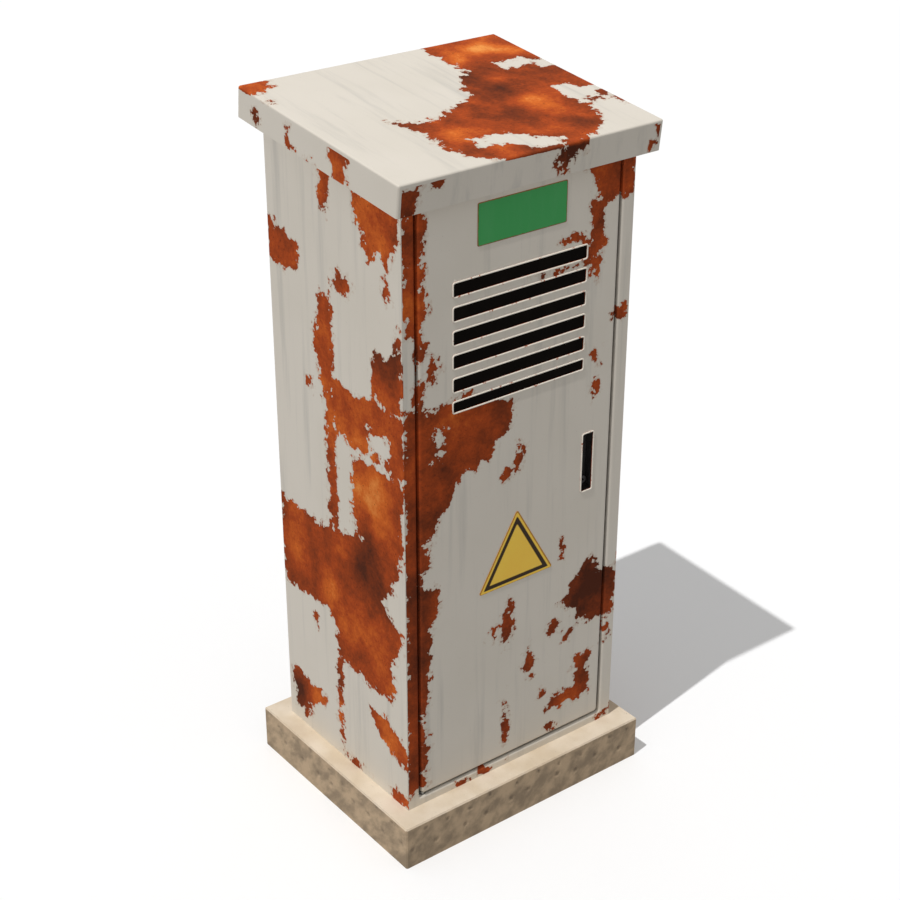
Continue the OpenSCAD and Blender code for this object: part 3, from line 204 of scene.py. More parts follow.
# Rust on the fascia: distance along it and height in the roof's frame, in mm
FASCIA_RUST = {
    "front": {
        "patches": [
            [(-330, 30), (-262, 30), (-256, 5), (-275, -15), (-285, -50), (-330, -50)],
            [(62, 30), (122, 30), (118, 2), (98, -6), (86, -14), (66, 2)],
        ],
        "islands": [[(-310, 28), (-285, 28), (-288, 8), (-306, 10)]],
        "spots": [(-235, 10, 12, 10), (-222, 18, 8, 8), (70, -24, 8, 18), (46, -12, 8, 9), (312, 8, 10, 18),
                  (296, -25, 10, 8)],
        "tones": [(95, 5, 60, -0.7), (-300, -10, 60, -0.25)],
    },
    "left": {
        "patches": [[(45, 30), (100, 30), (110, -10), (108, -50), (72, -50), (55, -10)]],
        "islands": [],
        "spots": [(-205, -28, 12, 18), (-90, -18, 9, 14), (-72, -36, 9, 8), (-20, -40, 14, 8)],
        "tones": [(-205, -28, 30, -0.5), (80, -10, 40, 0.05)],
    },
    "right": {
        "patches": [[(40, 30), (120, 30), (110, -10), (90, -50), (60, -50), (50, -10)]],
        "islands": [],
        "spots": [(-160, -25, 20, 14), (210, 5, 12, 18)],
        "tones": [],
    },
    "back": {
        "patches": [[(-330, 30), (-120, 30), (-150, -10), (-210, -20), (-240, -50), (-330, -50)]],
        "islands": [],
        "spots": [(40, -25, 22, 14), (210, 8, 14, 16)],
        "tones": [(-250, 0, 60, 0.2)],
    },
}

# Rust on the sides that the photo hides, made up in the same manner: distance along and height, in mm
RIGHT_RUST = {
    "patches": [
        [(-230, 1490), (-120, 1490), (-135, 1410), (-180, 1370), (-230, 1385)],
        [(230, 720), (120, 700), (60, 640), (80, 560), (150, 520), (140, 440), (230, 400)],
        [(-230, 540), (-150, 520), (-120, 450), (-170, 400), (-230, 395)],
        [(-60, 330), (60, 350), (110, 280), (70, 180), (-20, 150), (-80, 220)],
    ],
    "islands": [[(150, 640), (200, 650), (195, 600), (155, 595)]],
    "spots": [(40, 1180, 26, 34), (70, 1120, 14, 20), (-140, 960, 18, 30), (150, 1010, 14, 18),
              (-190, 130, 30, 18), (180, 125, 24, 14)],
    "tones": [(170, 600, 60, 0.2), (180, 470, 60, -0.3), (20, 250, 60, 0.25), (-190, 460, 50, -0.3)],
}
BACK_RUST = {
    "patches": [
        [(-290, 1560), (-190, 1560), (-200, 1450), (-240, 1380), (-290, 1400)],
        [(290, 900), (200, 880), (170, 800), (210, 700), (190, 600), (290, 560)],
        [(-290, 520), (-180, 500), (-90, 430), (-60, 330), (-130, 250), (-220, 270), (-290, 240)],
    ],
    "islands": [[(-210, 420), (-160, 410), (-165, 360), (-205, 365)]],
    "spots": [(20, 1120, 34, 46), (60, 1050, 18, 26), (-60, 780, 24, 34), (130, 330, 30, 22),
              (240, 150, 36, 26), (-20, 130, 30, 16), (180, 1330, 24, 30)],
    "tones": [(230, 720, 70, 0.2), (-180, 380, 80, -0.2), (-240, 1470, 50, 0.2)],
}


def srgb(red, green, blue):
    """Linear colour of a screen colour."""
    def linear(level):
        share = level / 255
        return share / 12.92 if share <= 0.04045 else ((share + 0.055) / 1.055) ** 2.4

    return (linear(red), linear(green), linear(blue), 1.0)


PAINT = srgb(222, 214, 201)
PAINT_STREAK = srgb(178, 174, 166)
PAINT_BLEED = srgb(176, 138, 102)
# Grey of the painted shade, with some grime, in the groove round the door
SHADE_AND_GRIME_GREY = srgb(92, 92, 90)
RUST_TONES = [
    (0.12, srgb(84, 42, 27)),
    (0.32, srgb(134, 60, 31)),
    (0.5, srgb(178, 77, 35)),
    (0.68, srgb(216, 108, 44)),
    (0.9, srgb(244, 158, 80)),
]


class Shader:
    """One material's node tree, with short ways to add its nodes."""

    def __init__(self, name):
        self.material = bpy.data.materials.new(name)
        self.material.use_nodes = True
        self.tree = self.material.node_tree
        self.bsdf = self.tree.nodes["Principled BSDF"]
        self.place = self.add("ShaderNodeTexCoord").outputs["Object"]

    def feed(self, socket, value):
        """Links a socket to another socket, or sets it to a constant."""
        if isinstance(value, bpy.types.NodeSocket):
            self.tree.links.new(value, socket)
        else:
            socket.default_value = value

    def add(self, kind, inputs=None, **settings):
        """New node with its settings and its inputs by name or index."""
        node = self.tree.nodes.new(kind)
        for key, value in settings.items():
            setattr(node, key, value)
        for key, value in (inputs or {}).items():
            self.feed(node.inputs[key], value)
        return node

    def math(self, operation, first, second):
        """One step of arithmetic on two values."""
        return self.add("ShaderNodeMath", {0: first, 1: second}, operation=operation).outputs[0]

    def total(self, *terms):
        """Sum of several values."""
        result = terms[0]
        for term in terms[1:]:
            result = self.math("ADD", result, term)
        return result

    def swing(self, value, reach):
        """A noise value turned into plus or minus half of reach about zero."""
        return self.math("MULTIPLY", self.math("SUBTRACT", value, 0.5), reach)

    def fit(self, value, low, high, to_low=0.0, to_high=1.0):
        """Value eased from one range to another and held at its ends."""
        inputs = {"Value": value, "From Min": low, "From Max": high, "To Min": to_low, "To Max": to_high}
        return self.add("ShaderNodeMapRange", inputs, interpolation_type="SMOOTHSTEP").outputs["Result"]

    def mix(self, share, first, second):
        """Blend of two colours."""
        return self.add("ShaderNodeMix", {0: share, 6: first, 7: second}, data_type="RGBA").outputs[2]

    def slanted(self, lean, length):
        """Place on the object leaned over, with lumps drawn out to a length along the lean."""
        inputs = {"Vector": self.place, "Rotation": (lean, lean, 0.0), "Scale": (1.0, 1.0, length)}
        return self.add("ShaderNodeMapping", inputs, vector_type="TEXTURE").outputs[0]

    def stretched(self, x, y, z):
        """Place on the object with each axis scaled."""
        return self.add("ShaderNodeMapping", {"Vector": self.place, "Scale": (x, y, z)}).outputs[0]

    def noise(self, scale, detail=4.0, rough=0.55, place=None):
        """Cloudy value from 0 to 1; scale is in lumps per metre."""
        inputs = {"Vector": place or self.place, "Scale": scale, "Detail": detail, "Roughness": rough}
        return self.add("ShaderNodeTexNoise", inputs).outputs[0]

    def cells(self, scale, output):
        """Cells round scattered points: the distance to the point, or each cell's own colour."""
        inputs = {"Vector": self.place, "Scale": scale}
        return self.add("ShaderNodeTexVoronoi", inputs).outputs[output]

    def stored(self, name):
        """Value kept on the mesh."""
        return self.add("ShaderNodeAttribute", attribute_name=name).outputs["Fac"]

    def ramp(self, value, stops):
        """Colour picked along a row of stops."""
        node = self.add("ShaderNodeValToRGB", {0: value})
        row = node.color_ramp.elements
        while len(row) < len(stops):
            row.new(0.5)
        for element, (place, colour) in zip(row, stops):
            element.position = place
            element.color = colour
        return node.outputs[0]

    def finish(self, colour, rough, height, lift, metal=0.0, gloss=0.5):
        """Feeds the surface: colour, roughness, a relief of lift millimetres, metalness and gloss."""
        bump = self.add("ShaderNodeBump", {"Height": height, "Distance": lift * MM, "Strength": 1.0})
        self.feed(self.bsdf.inputs["Base Color"], colour)
        self.feed(self.bsdf.inputs["Roughness"], rough)
        self.feed(self.bsdf.inputs["Normal"], bump.outputs[0])
        self.feed(self.bsdf.inputs["Specular IOR Level"], gloss)
        self.bsdf.inputs["Metallic"].default_value = metal
        return self.material


def rust_colour(shader):
    """Clouded rust, from dark scale to bright powder, with small dark pits."""
    clouds = shader.swing(shader.noise(13.0, 5.0, 0.6), 0.95)
    grain = shader.swing(shader.noise(150.0, 3.0, 0.6), 0.25)
    tone = shader.math("MULTIPLY", shader.stored("tone"), 0.62)
    depth = shader.total(0.47, clouds, grain, tone)
    pits = shader.fit(shader.noise(240.0, 1.0), 0.66, 0.76, 0.0, 0.55)
    return shader.mix(pits, shader.ramp(depth, RUST_TONES), srgb(60, 28, 22))


def paint_colour(shader, streak_scale):
    """Off-white paint with rain streaks, faint clouds, and painted shade with some grime in its grooves."""
    rain = shader.noise(1.0, 4.0, 0.6, shader.stretched(*streak_scale))
    streaks = shader.fit(rain, 0.5, 0.78, 0.0, 0.5)
    clouds = shader.fit(shader.noise(5.0, 3.0), 0.35, 0.7, 0.0, 0.22)
    specks = shader.fit(shader.noise(320.0, 2.0), 0.7, 0.78, 0.0, 0.35)
    streaked = shader.mix(streaks, PAINT, PAINT_STREAK)
    clouded = shader.mix(clouds, streaked, srgb(206, 198, 182))
    specked = shader.mix(specks, clouded, srgb(150, 140, 124))
    # The groove round the door is darkened in patches by painted shade with some grime.
    patchy = shader.fit(shader.noise(30.0), 0.25, 0.6, 0.45, 1.0)
    shade_and_dirt_share = shader.math("MULTIPLY", shader.stored("shade_and_grime"), patchy)
    return shader.mix(shade_and_dirt_share, specked, SHADE_AND_GRIME_GREY)


def weathered_paint(name, streak_scale):
    """Paint that has flaked to rust where the mesh's rust value says so."""
    shader = Shader(name)
    ragged = shader.swing(shader.noise(42.0, 4.0, 0.6), 72.0)
    crumbs = shader.swing(shader.noise(120.0, 2.0, 0.6), 20.0)
    edge = shader.total(shader.stored("rust"), ragged, crumbs)
    bare = shader.fit(edge, -0.8, 0.8)
    bleed = shader.fit(edge, -9.0, -0.5, 0.0, 0.3)
    painted = shader.mix(bleed, paint_colour(shader, streak_scale), PAINT_BLEED)
    colour = shader.mix(bare, painted, rust_colour(shader))
    rough = shader.fit(bare, 0.0, 1.0, 0.5, 0.88)
    scale = shader.math("MULTIPLY", shader.noise(170.0, 5.0, 0.7), shader.math("MULTIPLY", bare, 0.8))
    peel = shader.math("MULTIPLY", shader.noise(420.0, 1.0), 0.05)
    height = shader.total(shader.math("SUBTRACT", 1.0, bare), scale, peel)
    gloss = shader.fit(bare, 0.0, 1.0, 0.5, 0.08)
    return shader.finish(colour, rough, height, 0.5, 0.0, gloss)


def rim_highlight_paint():
    """Paint on the pressed rims, paler than the door's paint as a painted highlight, worn through in short
    stretches.
    """
    shader = Shader("rim_highlight_paint")
    worn = shader.fit(shader.noise(60.0, 4.0, 0.65), 0.6, 0.66)
    # Both pale colours are lighter than the door's paint: a painted highlight along the rims.
    dust = shader.mix(shader.noise(25.0), srgb(252, 244, 230), srgb(232, 222, 206))
    colour = shader.mix(worn, dust, srgb(168, 84, 48))
    rough = shader.fit(worn, 0.0, 1.0, 0.5, 0.85)
    return shader.finish(colour, rough, shader.noise(300.0, 2.0), 0.15)


def slot_edge():
    """Rusted raw edge inside the louvre slots."""
    shader = Shader("slot_edge")
    depth = shader.total(shader.noise(45.0, 4.0), -0.12)
    colour = shader.ramp(depth, RUST_TONES)
    return shader.finish(colour, 0.9, shader.noise(260.0, 3.0), 0.3, 0.0, 0.08)


def inner_paint():
    """Sheltered paint inside the cabinet: dusty, with rust only as faint freckles."""
    shader = Shader("inner_paint")
    dust = shader.fit(shader.noise(7.0, 4.0), 0.35, 0.7, 0.0, 0.6)
    freckles = shader.fit(shader.noise(90.0, 5.0, 0.65), 0.7, 0.74, 0.0, 0.8)
    dusty = shader.mix(dust, srgb(206, 199, 186), srgb(178, 170, 155))
    colour = shader.mix(freckles, dusty, srgb(150, 74, 42))
    rough = shader.fit(dust, 0.0, 0.6, 0.5, 0.72)
    return shader.finish(colour, rough, shader.noise(380.0, 2.0), 0.08)


def cast_concrete():
    """Cast concrete: sand-coloured top, darker blotched sides, fine pores."""
    shader = Shader("cast_concrete")
    up = shader.add("ShaderNodeSeparateXYZ", {0: shader.add("ShaderNodeNewGeometry").outputs["Normal"]})
    level = shader.fit(up.outputs["Z"], 0.4, 0.9)
    blotches = shader.fit(shader.noise(30.0, 5.0, 0.6, shader.slanted(0.75, 2.6)), 0.32, 0.66)
    sand = shader.fit(shader.noise(9.0, 4.0), 0.35, 0.68)
    sides = shader.mix(blotches, srgb(156, 136, 112), srgb(204, 178, 146))
    top = shader.mix(sand, srgb(224, 209, 188), srgb(208, 190, 164))
    body = shader.mix(level, sides, top)
    # Each pit is darker in colour, most of all at its middle.
    pit_darkening_share = shader.math("MULTIPLY", shader.stored("pit"), 0.5)
    pores = shader.fit(shader.noise(210.0, 2.0), 0.68, 0.76, 0.0, 0.45)
    colour = shader.mix(pores, shader.mix(pit_darkening_share, body, srgb(96, 88, 80)), srgb(110, 98, 84))
    height = shader.total(shader.noise(140.0, 6.0, 0.7), shader.noise(22.0, 3.0))
    return shader.finish(colour, 0.92, height, 0.6)


def enamel_plate():
    """Faded green enamel, chipped to a thin rusty line along its edge."""
    shader = Shader("enamel_plate")
    gap = shader.total(shader.stored("edge_gap"), shader.swing(shader.noise(110.0, 4.0), 3.0))
    chipped = shader.fit(gap, 1.0, 2.0, 1.0, 0.0)
    fade = shader.fit(shader.noise(1.0, 4.0, 0.6, shader.stretched(26.0, 26.0, 4.0)), 0.4, 0.75, 0.0, 0.45)
    green = shader.mix(fade, srgb(66, 160, 88), srgb(84, 166, 102))
    colour = shader.mix(chipped, green, srgb(138, 92, 56))
    rough = shader.fit(chipped, 0.0, 1.0, 0.42, 0.85)
    return shader.finish(colour, rough, shader.noise(300.0, 2.0), 0.1, 0.0, 0.12)


def triangle_enamel():
    """Yellow enamel with a plain dark band inside a thin yellow rim."""
    shader = Shader("triangle_enamel")
    gap = shader.stored("edge_gap")
    crumbled = shader.total(gap, shader.swing(shader.noise(90.0, 4.0, 0.6), 2.0))
    band_out = shader.fit(gap, 4.6, 6.6)
    band_in = shader.fit(gap, 13.8, 16.2, 1.0, 0.0)
    band = shader.math("MULTIPLY", band_out, band_in)
    fade = shader.fit(shader.noise(14.0, 4.0), 0.35, 0.7, 0.0, 0.5)
    yellow = shader.mix(fade, srgb(255, 210, 64), srgb(252, 198, 56))
    banded = shader.mix(band, yellow, srgb(52, 38, 22))
    chipped = shader.fit(crumbled, 0.3, 1.3, 1.0, 0.0)
    colour = shader.mix(chipped, banded, srgb(190, 132, 46))
    rough = shader.fit(chipped, 0.0, 1.0, 0.45, 0.85)
    gloss = shader.fit(band, 0.0, 1.0, 0.5, 0.1)
    return shader.finish(colour, rough, shader.noise(300.0, 2.0), 0.1, 0.0, gloss)


def zinc_plate():
    """Dull zinc: spangled greys with white bloom."""
    shader = Shader("zinc_plate")
    spangle = shader.fit(shader.cells(110.0, "Color"), 0.2, 0.8)
    bloom = shader.fit(shader.noise(35.0, 5.0, 0.65), 0.52, 0.72, 0.0, 0.6)
    grey = shader.mix(spangle, srgb(158, 161, 162), srgb(182, 184, 183))
    colour = shader.mix(bloom, grey, srgb(206, 206, 200))
    rough = shader.fit(bloom, 0.0, 0.6, 0.36, 0.7)
    return shader.finish(colour, rough, shader.noise(400.0, 3.0), 0.05, 0.85)


def moulded_plastic(name, dark, light):
    """Moulded plastic with a fine spark-eroded grain and a film of dust."""
    shader = Shader(name)
    dust = shader.fit(shader.noise(22.0, 4.0), 0.4, 0.75)
    colour = shader.mix(dust, dark, light)
    rough = shader.fit(shader.noise(60.0, 3.0), 0.3, 0.7, 0.42, 0.62)
    return shader.finish(colour, rough, shader.noise(900.0, 2.0), 0.04)


def foam_rubber():
    """Soft foam seal with open pores."""
    shader = Shader("foam_rubber")
    pores = shader.fit(shader.cells(420.0, "Distance"), 0.1, 0.6)
    colour = shader.mix(pores, srgb(26, 26, 27), srgb(48, 47, 46))
    return shader.finish(colour, 0.86, pores, 0.25)


def filter_mat():
    """Dusty black filter mat of tangled fibres."""
    shader = Shader("filter_mat")
    fibres = shader.noise(1.0, 4.0, 0.7, shader.stretched(900.0, 300.0, 350.0))
    dust = shader.fit(shader.noise(16.0, 4.0), 0.45, 0.75, 0.0, 0.6)
    colour = shader.mix(dust, srgb(17, 14, 12), srgb(27, 23, 19))
    return shader.finish(colour, 0.97, fibres, 0.6, 0.0, 0.04)


def bare_metal(name, bright, dull):
    """Machined bar stock with tarnish and fine drawing lines."""
    shader = Shader(name)
    tarnish = shader.fit(shader.noise(45.0, 5.0, 0.6), 0.38, 0.7)
    lines = shader.noise(1.0, 3.0, 0.6, shader.stretched(20.0, 600.0, 600.0))
    rough = shader.fit(tarnish, 0.0, 1.0, 0.26, 0.5)
    return shader.finish(shader.mix(tarnish, bright, dull), rough, lines, 0.04, 1.0)


def cast_resin():
    """Red-brown cast resin, glossy with cloudy pigment."""
    shader = Shader("cast_resin")
    clouds = shader.noise(60.0, 4.0)
    colour = shader.mix(clouds, srgb(150, 54, 42), srgb(118, 38, 30))
    return shader.finish(colour, 0.3, shader.noise(500.0, 2.0), 0.03)


def outline_gap(points, outline):
    """Distance from each point to a closed outline, above zero inside it."""
    nearest = np.full(len(points), np.inf)
    inside = np.zeros(len(points), bool)
    corners = np.array(outline, float)
    for start, end in zip(corners, np.roll(corners, -1, axis=0)):
        along = end - start
        offset = points - start
        share = np.clip(offset @ along / (along @ along), 0.0, 1.0)
        away = offset - share[:, None] * along
        nearest = np.minimum(nearest, np.hypot(away[:, 0], away[:, 1]))
        if along[1] != 0.0:
            spans = (start[1] > points[:, 1]) != (end[1] > points[:, 1])
            crossing = start[0] + (points[:, 1] - start[1]) * along[0] / along[1]
            inside ^= spans & (points[:, 0] < crossing)
    return np.where(inside, nearest, -nearest)


def spot_gap(points, spot):
    """About the distance from each point to an oval, above zero inside it."""
    across, up, half_w, half_h = spot
    reach = np.hypot((points[:, 0] - across) / half_w, (points[:, 1] - up) / half_h)
    return (1.0 - reach) * min(half_w, half_h)


def rust_value(points, layout):
    """How deep each point lies in the rust, in mm, below zero on sound paint."""
    value = np.full(len(points), -FAR)
    for outline in layout["patches"]:
        value = np.maximum(value, outline_gap(points, outline))
    for outline in layout["islands"]:
        value = np.minimum(value, -outline_gap(points, outline))
    for spot in layout["spots"]:
        value = np.maximum(value, spot_gap(points, spot))
    return value


def rust_tone(points, layout):
    """How much brighter or darker than usual the rust is at each point."""
    tone = np.zeros(len(points))
    for across, up, radius, amount in layout["tones"]:
        reach = np.hypot(points[:, 0] - across, points[:, 1] - up) / radius
        tone += amount * np.exp(-reach * reach)
    return tone


def places(mesh):
    """A mesh's vertices in mm."""
    flat = np.zeros(len(mesh.vertices) * 3, np.float32)
    mesh.vertices.foreach_get("co", flat)
    return flat.reshape(-1, 3).astype(float) / MM


def store(mesh, name, values):
    """Keeps one value per vertex on a mesh."""
    attribute = mesh.attributes.new(name, "FLOAT", "POINT")
    attribute.data.foreach_set("value", np.asarray(values, np.float32))


def gridded(node, cuts):
    """Copy of a CAD node that stands for it, cut by planes across each direction at its pitch in mm."""
    mesh = bmesh.new()
    mesh.from_mesh(NODES[node].data)
    bmesh.ops.remove_doubles(mesh, verts=mesh.verts, dist=WELD_MARGIN * MM)
    for direction, pitch in cuts:
        across = Vector(direction).normalized()
        reach = [vertex.co @ across for vertex in mesh.verts]
        count = int((max(reach) - min(reach)) / (pitch * MM))
        step = (max(reach) - min(reach)) / max(count, 1)
        for i in range(1, count):
            cut = across * (min(reach) + i * step)
            everything = mesh.verts[:] + mesh.edges[:] + mesh.faces[:]
            margin = CUT_MARGIN * MM
            bmesh.ops.bisect_plane(mesh, geom=everything, dist=margin, plane_co=cut, plane_no=across)
    limit = math.radians(SMOOTH_ANGLE)
    for face in mesh.faces:
        face.smooth = True
    for edge in mesh.edges:
        edge.smooth = edge.is_manifold and edge.calc_face_angle(0.0) < limit
    data = bpy.data.meshes.new(node + "_skin")
    mesh.to_mesh(data)
    mesh.free()
    piece = bpy.data.objects.new(node + "_skin", data)
    bpy.context.scene.collection.objects.link(piece)
    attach(piece, BODY_OF[node])
    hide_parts(node)
    return piece


def weather(piece, points, layout, shade_and_grime):
    """Stores the rust, its tone and the painted groove shade with grime on a piece, from its points in the
    plane of the layout.
    """
    store(piece.data, "rust", rust_value(points, layout))
    store(piece.data, "tone", rust_tone(points, layout))
    store(piece.data, "shade_and_grime", shade_and_grime)


def groove_shade_and_dirt(spots):
    """Painted shade, with some dirt, that darkens the groove between the door and its frame."""
    low, high = (np.array(corner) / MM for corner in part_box("door_panel"))
    middle = (low + high) / 2
    half = (high - low) / 2
    beyond = np.maximum(
        np.abs(spots[:, 0] - middle[0]) - half[0], np.abs(spots[:, 2] - middle[2]) - half[2]
    )
    behind = np.clip((spots[:, 1] - low[1] - GROOVE_START) / GROOVE_REACH, 0.0, 1.0)
    near = np.exp(-np.square((beyond - GROOVE_MIDDLE) / GROOVE_REACH))
    return GROOVE_SHADE_AND_DIRT * near * behind


def front_piece(node, material):
    """A front-facing sheet with the front's rust and the painted shade and dirt of the door's groove."""
    piece = gridded(node, [((1, 0, 0), GRID_PITCH), ((0, 0, 1), GRID_PITCH)])
    spots = places(piece.data)
    weather(piece, spots[:, [0, 2]], FRONT_RUST, groove_shade_and_dirt(spots))
    piece.data.materials.append(material)
    return piece


def finish_slots(door, rim_highlight, edge):
    """Gives the door's pressed rims a paler paint that is a painted highlight, and the raw slot edges their
    own finish.
    """
    door.data.materials.append(rim_highlight)
    door.data.materials.append(edge)
    face_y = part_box("left_stile")[0].y / MM
    areas = [node_corners(node) for node in SLOT_NODES]
    for face in door.data.polygons:
        across, depth, up = (value / MM for value in face.center)
        in_slot = any(left < across < right and low < up < high for left, right, low, high in areas)
        if in_slot and depth < face_y - RIM_PROUD:
            face.material_index = 1
        elif in_slot and abs(face.normal.y) < EDGE_SHARE:
            face.material_index = 2


def line(piece, outward, lining):
    """Gives the faces of a sheet that look inward the sheltered paint."""
    piece.data.materials.append(lining)
    number = len(piece.data.materials) - 1
    for face in piece.data.polygons:
        if face.normal @ Vector(outward) < INNER_SHARE:
            face.material_index = number


def side_piece(node, layout, axis, sign, material):
    """An upright sheet of the housing with its own rust."""
    direction = (1, 0, 0) if axis == 0 else (0, 1, 0)
    piece = gridded(node, [(direction, GRID_PITCH), ((0, 0, 1), GRID_PITCH)])
    spots = places(piece.data)
    points = np.column_stack([sign * spots[:, axis], spots[:, 2]])
    weather(piece, points, layout, np.zeros(len(spots)))
    piece.data.materials.append(material)
    return piece


def roof_piece(material):
    """The roof cap, with the rust of its sheet and of each fascia."""
    lean = math.radians(ROOF_SLOPE)
    uphill = np.array([0.0, math.cos(lean), math.sin(lean)])
    upward = np.array([0.0, -math.sin(lean), math.cos(lean)])
    piece = gridded("roof_cap", [((1, 0, 0), GRID_PITCH), (uphill, GRID_PITCH), (upward, GRID_PITCH)])
    spots = places(piece.data)
    across = spots[:, 0]
    climb = spots @ uphill
    climb -= (climb.max() + climb.min()) / 2
    rise = spots @ upward
    rise -= rise.max() - ROOF_TOP
    half_w = across.max()
    half_d = climb.max()
    sides = {
        "front": (climb < -half_d + ROOF_FOLD, across),
        "back": (climb > half_d - ROOF_FOLD, -across),
        "left": (across < -half_w + ROOF_FOLD, -climb),
        "right": (across > half_w - ROOF_FOLD, climb),
    }
    points = np.column_stack([across, climb])
    rust = rust_value(points, ROOF_RUST)
    tone = rust_tone(points, ROOF_RUST)
    below = rise < rise.max() - ROOF_FOLD
    for name, (chosen, along) in sides.items():
        local = np.column_stack([along, rise])
        here = chosen & below
        rust[here] = rust_value(local, FASCIA_RUST[name])[here]
        tone[here] = rust_tone(local, FASCIA_RUST[name])[here]
    store(piece.data, "rust", rust)
    store(piece.data, "tone", tone)
    store(piece.data, "shade_and_grime", np.zeros(len(spots)))
    piece.data.materials.append(material)
    return piece


def plinth_piece(material):
    """The plinth, with cast pits dented into its four sides."""
    directions = [(1, 0, 0), (0, 1, 0), (0, 0, 1)]
    piece = gridded("concrete_plinth", [(direction, PLINTH_PITCH) for direction in directions])
    spots = places(piece.data)
    half = spots.max(axis=0)
    chance = np.random.default_rng(PIT_SEED)
    # How far into each pit a point lies; this later darkens the colour there.
    pit_darkening = np.zeros(len(spots))
    dent = np.zeros_like(spots)
    for axis in (0, 1):
        along = 1 - axis
        for sign in (-1, 1):
            on_side = sign * spots[:, axis] > half[axis] - PIT_SKIN
            for height, start, radius in PIT_ROWS:
                count = int(2 * half[along] / PIT_PITCH)
                for i in range(count):
                    drift = chance.uniform(-PIT_DRIFT_ALONG, PIT_DRIFT_ALONG)
                    centre = (i + start) * PIT_PITCH - half[along] + drift
                    level = height + chance.uniform(-PIT_DRIFT_UP, PIT_DRIFT_UP)
                    reach = np.hypot(spots[:, along] - centre, spots[:, 2] - level) / radius
                    depth = np.where(on_side & (reach < 1.0), 1.0 - np.square(reach), 0.0)
                    pit_darkening = np.maximum(pit_darkening, depth)
                    dent[:, axis] -= sign * depth * PIT_DEPTH
    store(piece.data, "pit", pit_darkening)
    moved = ((spots + dent) * MM).astype(np.float32)
    piece.data.vertices.foreach_set("co", moved.ravel())
    piece.data.update()
    piece.data.materials.append(material)


def plate_piece(node, outline, material):
    """A flat plate that keeps each point's distance from the plate's outline."""
    piece = gridded(node, [((1, 0, 0), PLATE_PITCH), ((0, 0, 1), PLATE_PITCH)])
    spots = places(piece.data)
    store(piece.data, "edge_gap", outline_gap(spots[:, [0, 2]], outline))
    piece.data.materials.append(material)


def node_corners(node):
    """Left, right, low and high of a node on the front, in mm."""
    low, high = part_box(node)
    return low.x / MM, high.x / MM, low.z / MM, high.z / MM


def dress_outside(lining):
    """Replaces the painted sheets, the plinth and the plates by finely cut copies that carry wear."""
    upright = weathered_paint("weathered_paint", (34.0, 34.0, 1.8))
    sloped = weathered_paint("weathered_roof_paint", (32.0, 2.6, 8.0))
    door = front_piece("door_panel", upright)
    finish_slots(door, rim_highlight_paint(), slot_edge())
    line(door, (0, -1, 0), lining)
    for node in ("left_stile", "right_stile", "head_rail", "sill_rail"):
        line(front_piece(node, upright), (0, -1, 0), lining)
    line(side_piece("left_panel", LEFT_RUST, 1, -1, upright), (-1, 0, 0), lining)
    line(side_piece("right_panel", RIGHT_RUST, 1, 1, upright), (1, 0, 0), lining)
    line(side_piece("back_panel", BACK_RUST, 0, -1, upright), (0, 1, 0), lining)
    roof = roof_piece(sloped)
    line(roof, (0, 0, 1), lining)
    plinth_piece(cast_concrete())
    left, right, low, high = node_corners("blank_plate")
    plate_piece("blank_plate", [(left, low), (right, low), (right, high), (left, high)], enamel_plate())
    left, right, low, high = node_corners("triangle_plate")
    plate_piece("triangle_plate", [(left, low), (right, low), ((left + right) / 2, high)], triangle_enamel())
    return roof


def dress_inside(lining):
    """Gives every other CAD node the finish of its slot."""
    finishes = {
        "paint": lining,
        "zinc": zinc_plate(),
        "black_plastic": moulded_plastic("black_plastic_grain", srgb(24, 22, 20), srgb(36, 33, 30)),
        "grey_plastic": moulded_plastic("grey_plastic_grain", srgb(206, 206, 200), srgb(182, 180, 172)),
        "rubber": foam_rubber(),
        "filter": filter_mat(),
        "brass": bare_metal("brass_bar", srgb(214, 178, 104), srgb(150, 118, 66)),
        "copper": bare_metal("copper_bar", srgb(208, 134, 96), srgb(136, 82, 58)),
        "insulator": cast_resin(),
    }
    for piece in NODES.values():
        for slot in piece.material_slots:
            if slot.material.name in finishes:
                slot.material = finishes[slot.material.name]
    blackened = moulded_plastic("blackened_steel", srgb(22, 20, 19), srgb(34, 31, 29))
    NODES["lock_spindle"].material_slots[0].material = blackened


def seen_rays(tree):
    """1 for rays that come from the camera, a gloss or a glass, and 0 for rays that carry light."""
    rays = tree.nodes.new("ShaderNodeLightPath").outputs
    result = rays["Is Camera Ray"]
    for name in ("Is Glossy Ray", "Is Transmission Ray"):
        larger = tree.nodes.new("ShaderNodeMath")
        larger.operation = "MAXIMUM"
        tree.links.new(result, larger.inputs[0])
        tree.links.new(rays[name], larger.inputs[1])
        result = larger.outputs[0]
    return result


